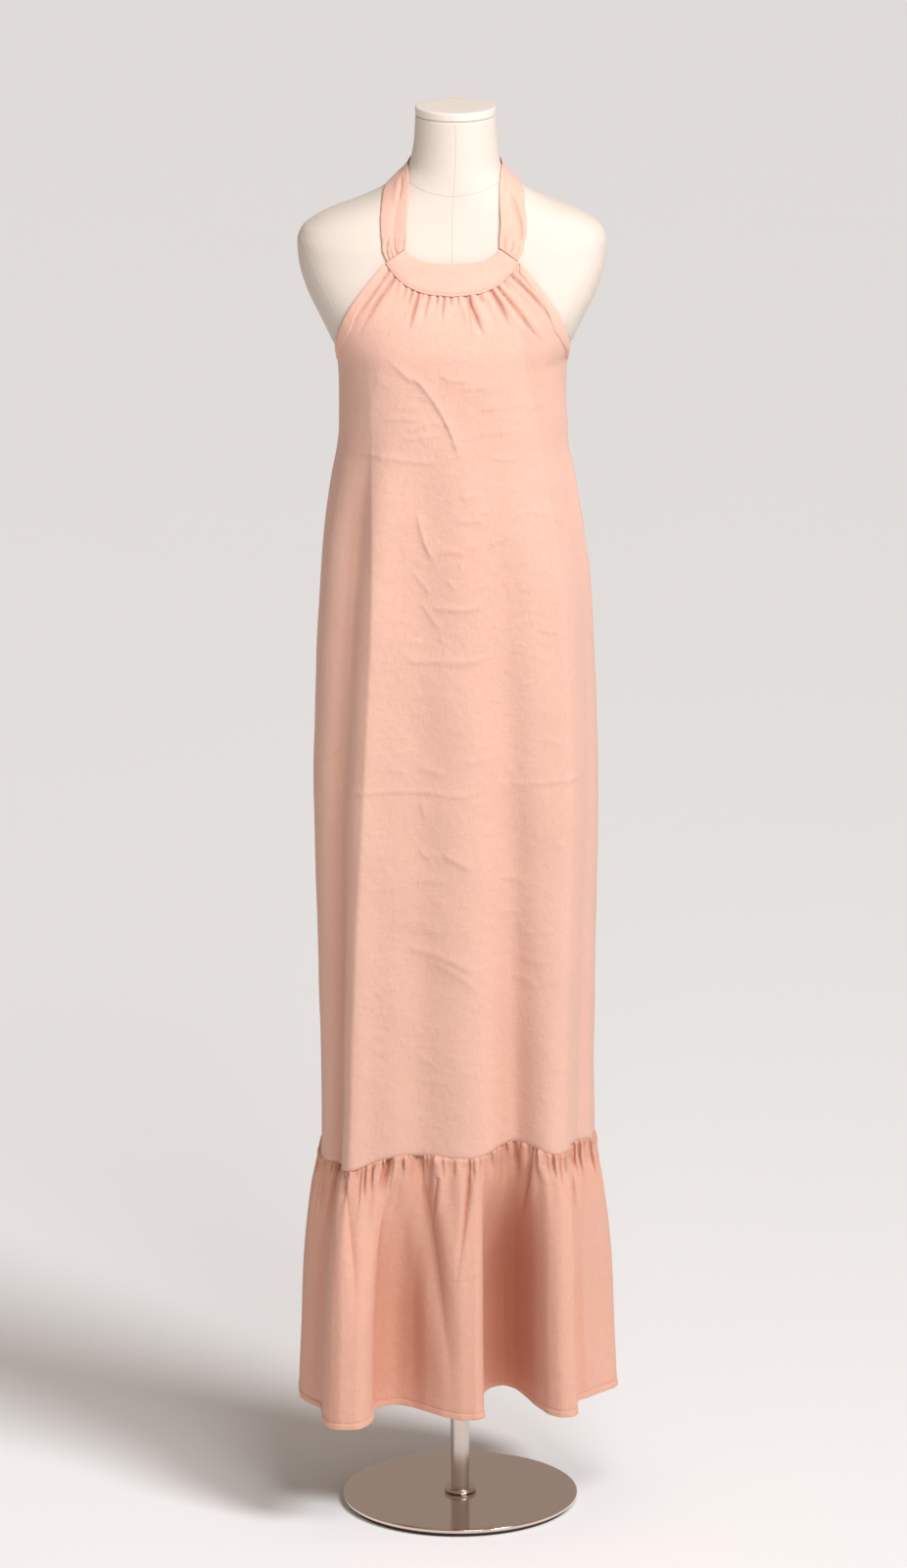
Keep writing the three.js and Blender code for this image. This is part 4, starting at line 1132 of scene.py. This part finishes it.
def finishBinding(name, points, lift, uv, node, mirror=False):
    spec = binding
    outward = pointing(gridNormals(points), points * (1, 1, 0))
    points = points + outward * lift
    if mirror:
        points, outward = mirrored(points, outward, dressCurves["centre"](points[..., 2]))
    piece = roundStrip(name, points, outward, spec["half"], uv)
    settle(piece, node)
    column = int(round(spec["stitchShare"] * (spec["rows"] - 1)))
    line = (points + outward * spec["half"] * spec["stitchLift"])[2:-2, column]
    return piece, stitchRow(name + "Stitches", line, outward[2:-2, column], "edge")


def makeBinding(name, node, mirror=False):
    place = np.linspace(dressCut["neckShare"] + binding["start"], 1, binding["columns"])[:, None]
    share = np.linspace(binding["over"], 1, binding["rows"])[None, :]
    height = frontTop(place)[1] - share * binding["width"] * alongEdge(place)
    points = frontSurface(place, height)
    uv = np.stack(np.broadcast_arrays(share * binding["width"], place * binding["edgeLength"]), -1)
    return finishBinding(name, points, binding["lift"], uv, node, mirror)


def makeBackBinding():
    angle = np.linspace(90, 270, binding["backColumns"])[:, None]
    share = np.linspace(binding["over"], 1, binding["rows"])[None, :]
    points = foldedPoint(angle, dressCut["backTop"] - share * binding["width"], 0)
    uv = np.stack(np.broadcast_arrays(share * binding["width"], angle * binding["lengthPerDegree"]), -1)
    return finishBinding("backBinding", points, binding["backLift"], uv, "binding_back")


bandPiece, bandThread = makeBand()
strapLeftPiece = makeStrap("strapLeft", 1, straps["leftFolds"], "strap_left")
strapRightPiece = makeStrap("strapRight", -1, straps["rightFolds"], "strap_right")
bindingLeftPiece, bindingLeftThread = makeBinding("bindingLeft", "binding_left")
bindingRightPiece, bindingRightThread = makeBinding("bindingRight", "binding_right", mirror=True)
backBindingPiece, backBindingThread = makeBackBinding()
print("band, straps and bindings made")


# dress form: smooth torso, neck cap, and a dark ring in the gap under the cap, painted shadow for that
# groove

formSpec = {
    "columns": 180,
    "rows": 240,
    "segments": 160,
    "capRadius": 46.5,
    "capLow": 1690.3,
    "top": 1700,
    "capRounds": (0.8, 1.6),
    "capRims": (6, 12),
    "gapShadow": {"inner": 40, "outer": 45.2, "below": 1.2, "above": 0.3},
    "seamWidth": 0.8,
    "seamHeight": 0.25,
    "seamSteps": 24,
    "seamColumns": 5,
    "frontSeam": (1688, 1640, 1590, 1540, 1505),
    "backSeam": (1688, 1640, 1590, 1500, 1402),
    "neckSeam": [(0, 1605), (24, 1609), (46, 1616), (68, 1621.5), (95, 1626), (135, 1632), (180, 1635)],
    "armSeam": [
        (90, 1557), (72, 1546), (64, 1533), (58, 1512), (52.5, 1489), (51, 1467), (57, 1447),
        (72, 1434), (90, 1430), (108, 1434), (122, 1449), (127, 1470), (125, 1492), (119, 1515),
        (111, 1536), (101, 1550),
    ],
}


def makeTorso():
    share = np.linspace(0, 1, formSpec["rows"])[:, None]
    height = mix(formTable["height"][-1], formTable["height"][0], share)
    angle = np.linspace(0, 360, formSpec["columns"], endpoint=False)[None, :]
    points = sectionPoint(formCurves, angle, height)
    faces = cappedFaces(formSpec["rows"], formSpec["columns"])
    piece = meshObject("formTorso", points.reshape(-1, 3), faces, closed=True)
    settle(piece, "form_torso")
    return piece


def closedCurve(values):
    # periodic smooth curve through values whose first and last are the same
    wide = np.concatenate([values[-2:-1], values, values[1:2]])
    slope = (wide[2:] - wide[:-2]) / 2

    def curve(at):
        i = np.clip(at.astype(int), 0, len(values) - 2)
        return hermite(at - i, values[i], values[i + 1], slope[i], slope[i + 1])

    return curve


def makeFormSeam(name, rows, closed=False):
    # a sewn ridge along points given by angle and height on the form
    rows = np.array(rows, float)
    columns = formSpec["seamColumns"]
    share = np.linspace(0, len(rows) - 1, formSpec["seamSteps"] * (len(rows) - 1))
    if closed:
        angle, height = [closedCurve(values)(share) for values in rows.T]
    else:
        angle, height = [smoothCurve(np.arange(len(rows)), values)(share) for values in rows.T]
    line = sectionPoint(formCurves, angle, height)
    around = sectionPoint(formCurves, angle + 0.5, height) - sectionPoint(formCurves, angle - 0.5, height)
    upward = sectionPoint(formCurves, angle, height + 0.5) - sectionPoint(formCurves, angle, height - 0.5)
    outward = unitVectors(np.cross(around, upward))
    side = unitVectors(np.cross(outward, np.gradient(line, axis=0)))
    across = np.linspace(-1, 1, columns)[None, :, None] * formSpec["seamWidth"] / 2
    strip = line[:, None] + side[:, None] * across
    outward = np.broadcast_to(outward[:, None], strip.shape)
    piece = roundStrip(name, strip, outward, formSpec["seamHeight"], np.zeros((len(line), columns, 2)))
    settle(piece)
    return piece


def makeFormSeams():
    neck = formSpec["neckSeam"]
    wholeNeck = [(-angle, height) for angle, height in neck[::-1]] + neck[1:]
    arm = formSpec["armSeam"] + formSpec["armSeam"][:1]
    return [
        makeFormSeam("formNeckSeam", wholeNeck),
        makeFormSeam("formFrontSeam", [(0, height) for height in formSpec["frontSeam"]]),
        makeFormSeam("formBackSeam", [(180, height) for height in formSpec["backSeam"]]),
        makeFormSeam("formArmSeamLeft", arm, True),
        makeFormSeam("formArmSeamRight", [(-angle, height) for angle, height in arm], True),
    ]


def makeCap():
    spec = formSpec
    low = spec["capLow"]
    profile = discProfile(spec["capRadius"], low, spec["top"], spec["capRounds"], spec["capRims"], 8)
    piece = turnedPiece("neckCap", profile, spec["segments"])
    settle(piece, "neck_cap")
    # the ring's dark colour is painted shadow for the groove between the cap and the neck
    inner = spec["gapShadow"]["inner"]
    outer = spec["gapShadow"]["outer"]
    below = low - spec["gapShadow"]["below"]
    above = low + spec["gapShadow"]["above"]
    profile = [(inner, below), (outer, below), (outer, above), (inner, above)]
    gapShadow = turnedPiece("capGapShadow", profile, spec["segments"])
    settle(gapShadow)
    return piece, gapShadow


# stand: tube, collar, round plate on a dark pad

stand = {
    "poleRadius": 11,
    "poleRound": 0.5,
    "poleRing": 1.5,
    "collarRadius": 19,
    "collarHeight": 6,
    "collarRound": 2,
    "collarChamfer": (1, 0.6),
    "collarEase": 0.2,
    "baseRadius": 140,
    "baseRounds": (0.8, 0.9),
    "baseRims": (9, 9),
    "baseRings": (60, 12),
    "plate": 4,
    "footRadius": 135,
    "footRounds": (1, 0.4),
    "footRims": (8, 8),
    "foot": 5,
    "gap": 0.3,
    "segments": {"basePlate": 240, "basePad": 200, "pole": 96, "poleCollar": 96},
}


def makeStand():
    spec = stand
    low = spec["foot"] + spec["gap"]
    top = low + spec["plate"]
    poleRadius = spec["poleRadius"]
    poleLow = top + spec["gap"]
    poleTop = formTable["height"][0] - spec["gap"]
    collarRadius = spec["collarRadius"]
    collarTop = poleLow + spec["collarHeight"]
    bore = poleRadius + spec["collarEase"]
    plate = discProfile(spec["baseRadius"], low, top, spec["baseRounds"], spec["baseRims"])
    plate += [(radius, top) for radius in spec["baseRings"]]
    foot = discProfile(spec["footRadius"], 0, spec["foot"], spec["footRounds"], spec["footRims"])
    pole = roundedCorner(poleRadius, poleLow, spec["poleRound"], -1, 4)
    pole += [(poleRadius, poleLow + spec["poleRing"]), (poleRadius, poleTop - spec["poleRing"])]
    pole += roundedCorner(poleRadius, poleTop, spec["poleRound"], 1, 4)
    inwards, upwards = spec["collarChamfer"]
    collar = [(bore, poleLow), (collarRadius - inwards, poleLow), (collarRadius, poleLow + upwards)]
    collar += roundedCorner(collarRadius, collarTop, spec["collarRound"], 1, 7) + [(bore, collarTop)]
    rows = [("basePlate", plate, "steel", "base_disc"), ("basePad", foot, "foot", "base_foot")]
    rows += [("pole", pole, "steel", "pole"), ("poleCollar", collar, "steel", "pole_collar")]
    pieces = []
    for name, profile, slot, node in rows:
        pieces.append(turnedPiece(name, profile, spec["segments"][name]))
        settle(pieces[-1], node)
    return pieces


torsoPiece = makeTorso()
formSeamPieces = makeFormSeams()
capPiece, capGapShadowPiece = makeCap()
platePiece, padPiece, polePiece, collarPiece = makeStand()
print("form and stand made")


# materials

def newMaterial(name):
    material = bpy.data.materials.new(name)
    material.use_nodes = True
    return material, material.node_tree, material.node_tree.nodes["Principled BSDF"]


def feed(tree, socket, value):
    # an output is linked to the socket, and a number or colour is set on it
    if isinstance(value, bpy.types.NodeSocket):
        tree.links.new(value, socket)
    else:
        socket.default_value = value


def mathNode(tree, operation, *values):
    node = tree.nodes.new("ShaderNodeMath")
    node.operation = operation
    for socket, value in zip(node.inputs, values):
        feed(tree, socket, value)
    return node.outputs[0]


def times(tree, a, b):
    return mathNode(tree, "MULTIPLY", a, b)


def plus(tree, a, b):
    return mathNode(tree, "ADD", a, b)


def noiseNode(tree, vector, scale, detail, rough=0.5, distortion=0.0):
    node = tree.nodes.new("ShaderNodeTexNoise")
    node.inputs["Scale"].default_value = scale
    node.inputs["Detail"].default_value = detail
    node.inputs["Roughness"].default_value = rough
    node.inputs["Distortion"].default_value = distortion
    tree.links.new(vector, node.inputs["Vector"])
    return node.outputs["Fac"]


def stretched(tree, vector, scale):
    node = tree.nodes.new("ShaderNodeMapping")
    node.inputs["Scale"].default_value = scale
    tree.links.new(vector, node.inputs["Vector"])
    return node.outputs[0]


def mixNode(tree, share, first, second):
    node = tree.nodes.new("ShaderNodeMix")
    node.data_type = "RGBA"
    for index, value in zip((0, 6, 7), (share, first, second)):  # factor and the two colours
        feed(tree, node.inputs[index], value)
    return node.outputs[2]


def bumpNode(tree, shader, height, strength, distance):
    node = tree.nodes.new("ShaderNodeBump")
    node.inputs["Strength"].default_value = strength
    node.inputs["Distance"].default_value = distance
    tree.links.new(height, node.inputs["Height"])
    tree.links.new(node.outputs["Normal"], shader.inputs["Normal"])


def objectPlace(tree):
    return tree.nodes.new("ShaderNodeTexCoord").outputs["Object"]


# the cloth's finish: weave and slubs along the cut, and crumples; with painted shade, a deeper colour in
# the hollows of its folds

clothLook = {
    "slubScales": ((900, 60, 1), (60, 900, 1)),
    "crumples": ((34, 5, 0.55, 0.6), (110, 3, 0.5, 0.3)),
    "crumpleHeight": 6,
    "blotchScale": 9,
    "blotch": 0.35,
    "slubMiddle": 0.72,
    "slubTint": 1.5,
    "paintedShadeSamples": 10,
    "paintedShadeDepth": 1.9,
    "roughness": 0.78,
    "slubRoughness": 0.12,
    "bump": (0.6, 0.0004),
    "sheenRoughness": 0.45,
    "specular": 0.25,
}


def clothGroup():
    look = clothLook
    tree = bpy.data.node_groups.new("clothFinishAndShade", "ShaderNodeTree")
    for name in ("Colour", "Deep colour", "Painted shade colour"):
        tree.interface.new_socket(name, in_out="INPUT", socket_type="NodeSocketColor")
    for name in ("Threads per metre", "Thread height", "Slub", "Crumple", "Painted shade reach"):
        tree.interface.new_socket(name, in_out="INPUT", socket_type="NodeSocketFloat")
    tree.interface.new_socket("Colour", in_out="OUTPUT", socket_type="NodeSocketColor")
    tree.interface.new_socket("Height", in_out="OUTPUT", socket_type="NodeSocketFloat")
    tree.interface.new_socket("Roughness", in_out="OUTPUT", socket_type="NodeSocketFloat")
    given = tree.nodes.new("NodeGroupInput").outputs
    result = tree.nodes.new("NodeGroupOutput").inputs
    cut = tree.nodes.new("ShaderNodeUVMap")
    cut.uv_map = "cut"
    split = tree.nodes.new("ShaderNodeSeparateXYZ")
    tree.links.new(cut.outputs[0], split.inputs[0])
    turns = times(tree, given["Threads per metre"], math.pi)
    warp = mathNode(tree, "SINE", times(tree, split.outputs["X"], turns))
    weft = mathNode(tree, "SINE", times(tree, split.outputs["Y"], turns))
    weave = times(tree, times(tree, warp, weft), given["Thread height"])
    stretches = [stretched(tree, cut.outputs[0], scale) for scale in look["slubScales"]]
    slub = plus(tree, *[noiseNode(tree, stretch, 1, 3, 0.6) for stretch in stretches])
    place = objectPlace(tree)
    crumple = plus(tree, *[noiseNode(tree, place, *values) for values in look["crumples"]])
    crumple = times(tree, crumple, times(tree, given["Crumple"], look["crumpleHeight"]))
    height = plus(tree, plus(tree, weave, times(tree, slub, given["Slub"])), crumple)
    tree.links.new(height, result["Height"])
    tint = times(tree, mathNode(tree, "SUBTRACT", slub, look["slubMiddle"]), look["slubTint"])
    tint = plus(tree, tint, times(tree, noiseNode(tree, place, look["blotchScale"], 3), look["blotch"]))
    colour = mixNode(tree, tint, given["Colour"], given["Deep colour"])
    # painted shade: where the piece's own surface closes round a point, the colour is mixed towards the
    # painted shade colour
    paintedShade = tree.nodes.new("ShaderNodeAmbientOcclusion")
    paintedShade.only_local = True
    paintedShade.samples = look["paintedShadeSamples"]
    tree.links.new(given["Painted shade reach"], paintedShade.inputs["Distance"])
    shadeShare = times(tree, mathNode(tree, "SUBTRACT", 1, paintedShade.outputs["AO"]), look["paintedShadeDepth"])
    tree.links.new(mixNode(tree, shadeShare, colour, given["Painted shade colour"]), result["Colour"])
    rough = plus(tree, times(tree, slub, look["slubRoughness"]), look["roughness"])
    tree.links.new(rough, result["Roughness"])
    return tree


clothFinishAndShade = clothGroup()
# each cloth's painted shade colour is mixed in for the shade in its hollows
cloths = {
    "peachCloth": {
        "Colour": (0.83, 0.53, 0.44, 1),
        "Deep colour": (0.77, 0.45, 0.35, 1),
        "Painted shade colour": (0.59, 0.25, 0.16, 1),
        "Painted shade reach": 0.05,
        "Threads per metre": 1500,
        "Thread height": 0.4,
        "Slub": 0.9,
        "Crumple": 0.6,
    },
    "formCover": {
        "Colour": (0.71, 0.63, 0.57, 1),
        "Deep colour": (0.67, 0.59, 0.525, 1),
        "Painted shade colour": (0.42, 0.32, 0.25, 1),
        "Painted shade reach": 0.03,
        "Threads per metre": 2200,
        "Thread height": 0.2,
        "Slub": 0.3,
        "Crumple": 0.15,
    },
}
# the ruffle wears the peach cloth coloured darker and redder, painted shade for its deep folds, and its
# painted shade reaches further
cloths["peachRuffleClothPaintedShade"] = {
    **cloths["peachCloth"],
    "Colour": (0.79, 0.46, 0.365, 1),
    "Deep colour": (0.72, 0.385, 0.285, 1),
    "Painted shade reach": 0.09,
}
clothSheen = {"peachCloth": 0.16, "peachRuffleClothPaintedShade": 0.12, "formCover": 0.08}


def clothMaterial(name):
    material, tree, shader = newMaterial(name)
    finishAndShade = tree.nodes.new("ShaderNodeGroup")
    finishAndShade.node_tree = clothFinishAndShade
    for socket, value in cloths[name].items():
        finishAndShade.inputs[socket].default_value = value
    tree.links.new(finishAndShade.outputs["Colour"], shader.inputs["Base Color"])
    tree.links.new(finishAndShade.outputs["Roughness"], shader.inputs["Roughness"])
    bumpNode(tree, shader, finishAndShade.outputs["Height"], *clothLook["bump"])
    shader.inputs["Sheen Weight"].default_value = clothSheen[name]
    shader.inputs["Sheen Roughness"].default_value = clothLook["sheenRoughness"]
    shader.inputs["Specular IOR Level"].default_value = clothLook["specular"]
    return material


# brushed steel: colour, roughness, and how finely the grain runs along each axis

steels = {
    "plateSteel": ((0.79, 0.65, 0.57, 1), 0.12, (30, 500, 30)),
    "tubeSteel": ((0.66, 0.58, 0.52, 1), 0.2, (900, 900, 12)),
}
steelLook = {"grain": 0.1, "smudge": 0.08, "smudgeScale": 14, "bump": (0.15, 0.0001)}


def steelMaterial(name):
    colour, roughness, scale = steels[name]
    material, tree, shader = newMaterial(name)
    place = objectPlace(tree)
    grain = noiseNode(tree, stretched(tree, place, scale), 1, 4, 0.6)
    smudge = times(tree, noiseNode(tree, place, steelLook["smudgeScale"], 3), steelLook["smudge"])
    shade = plus(tree, times(tree, grain, steelLook["grain"]), roughness - steelLook["smudge"])
    tree.links.new(plus(tree, shade, smudge), shader.inputs["Roughness"])
    bumpNode(tree, shader, grain, *steelLook["bump"])
    shader.inputs["Base Color"].default_value = colour
    shader.inputs["Metallic"].default_value = 1
    return material


# plain finishes: colour, roughness, scale and depth of the grain, and how far it varies the colour

plains = {
    "peachThread": ((0.70, 0.40, 0.30), 0.8, 900, 0.0001, 0.05),
    "coverSeam": ((0.60, 0.52, 0.46), 0.85, 300, 0.0001, 0.05),
    "capPaint": ((0.75, 0.675, 0.61), 0.5, 60, 0.0002, 0.05),
    # painted shadow in the gap under the neck cap
    "gapPaintedShadow": ((0.20, 0.15, 0.11), 0.8, 200, 0.0001, 0.05),
    "padRubber": ((0.03, 0.027, 0.025), 0.75, 200, 0.0002, 0.05),
    "studioFloor": ((0.88, 0.89, 0.91), 0.9, 3, 0.0001, 0.008),
}
plainLook = {"grain": 0.1, "bump": 0.3}


def plainMaterial(name):
    colour, roughness, grainScale, grainDepth, variation = plains[name]
    material, tree, shader = newMaterial(name)
    grain = noiseNode(tree, objectPlace(tree), grainScale, 4, 0.55)
    light = (*[min(1, value * (1 + variation)) for value in colour], 1)
    dark = (*[value * (1 - variation) for value in colour], 1)
    tree.links.new(mixNode(tree, grain, light, dark), shader.inputs["Base Color"])
    shade = plus(tree, times(tree, grain, plainLook["grain"]), roughness - plainLook["grain"] / 2)
    tree.links.new(shade, shader.inputs["Roughness"])
    bumpNode(tree, shader, grain, plainLook["bump"], grainDepth)
    return material


materials = {name: clothMaterial(name) for name in cloths}
materials.update({name: plainMaterial(name) for name in plains})
materials.update({name: steelMaterial(name) for name in steels})
bindingPieces = [bindingLeftPiece, bindingRightPiece, backBindingPiece]
worn = {
    "peachCloth": [frontPiece, backPiece, bandPiece, strapLeftPiece, strapRightPiece] + bindingPieces,
    "peachRuffleClothPaintedShade": [ruffleFrontPiece, ruffleBackPiece],
    "peachThread": [hemFrontThread, hemBackThread, bandThread]
    + [bindingLeftThread, bindingRightThread, backBindingThread],
    "formCover": [torsoPiece],
    "coverSeam": formSeamPieces,
    "capPaint": [capPiece],
    "gapPaintedShadow": [capGapShadowPiece],
    "plateSteel": [platePiece],
    "tubeSteel": [polePiece, collarPiece],
    "padRubber": [padPiece],
}
for name, pieces in worn.items():
    for piece in pieces:
        piece.data.materials.append(materials[name])
print("materials set")


# floor and light

studio = {
    "floorSize": 60,
    "worldColour": (1.0, 0.87, 0.76, 1),
    "worldStrength": 0.355,
    "sun": {"angles": (42, 6, 41), "softness": 16, "strength": 2.1},
    "key": {"place": (0.45, -1.5, 2.6), "size": 0.9, "power": 23.5, "target": (0, 0, 1.38)},
}


def addLight(name, kind, energy):
    light = bpy.data.lights.new(name, kind)
    light.energy = energy
    holder = bpy.data.objects.new(name, light)
    bpy.context.collection.objects.link(holder)
    return light, holder


def makeStudio():
    bpy.ops.mesh.primitive_plane_add(size=studio["floorSize"], location=(0, 0, 0))
    floor = bpy.context.object
    floor.name = "studioFloor"
    floor.data.materials.append(materials["studioFloor"])
    world = bpy.data.worlds.new("studioWorld")
    world.use_nodes = True
    sky = world.node_tree.nodes["Background"]
    sky.inputs["Color"].default_value = studio["worldColour"]
    sky.inputs["Strength"].default_value = studio["worldStrength"]
    bpy.context.scene.world = world
    sun, sunHolder = addLight("sunLight", "SUN", studio["sun"]["strength"])
    sun.angle = math.radians(studio["sun"]["softness"])
    sunHolder.rotation_euler = [math.radians(turn) for turn in studio["sun"]["angles"]]
    spec = studio["key"]
    key, keyHolder = addLight("keyLight", "AREA", spec["power"])
    key.shape = "DISK"
    key.size = spec["size"]
    keyHolder.location = spec["place"]
    aim = Vector(spec["target"]) - Vector(spec["place"])
    keyHolder.rotation_euler = aim.to_track_quat("-Z", "Y").to_euler()
    bpy.context.scene.view_settings.view_transform = "Standard"


makeStudio()
print("studio set")
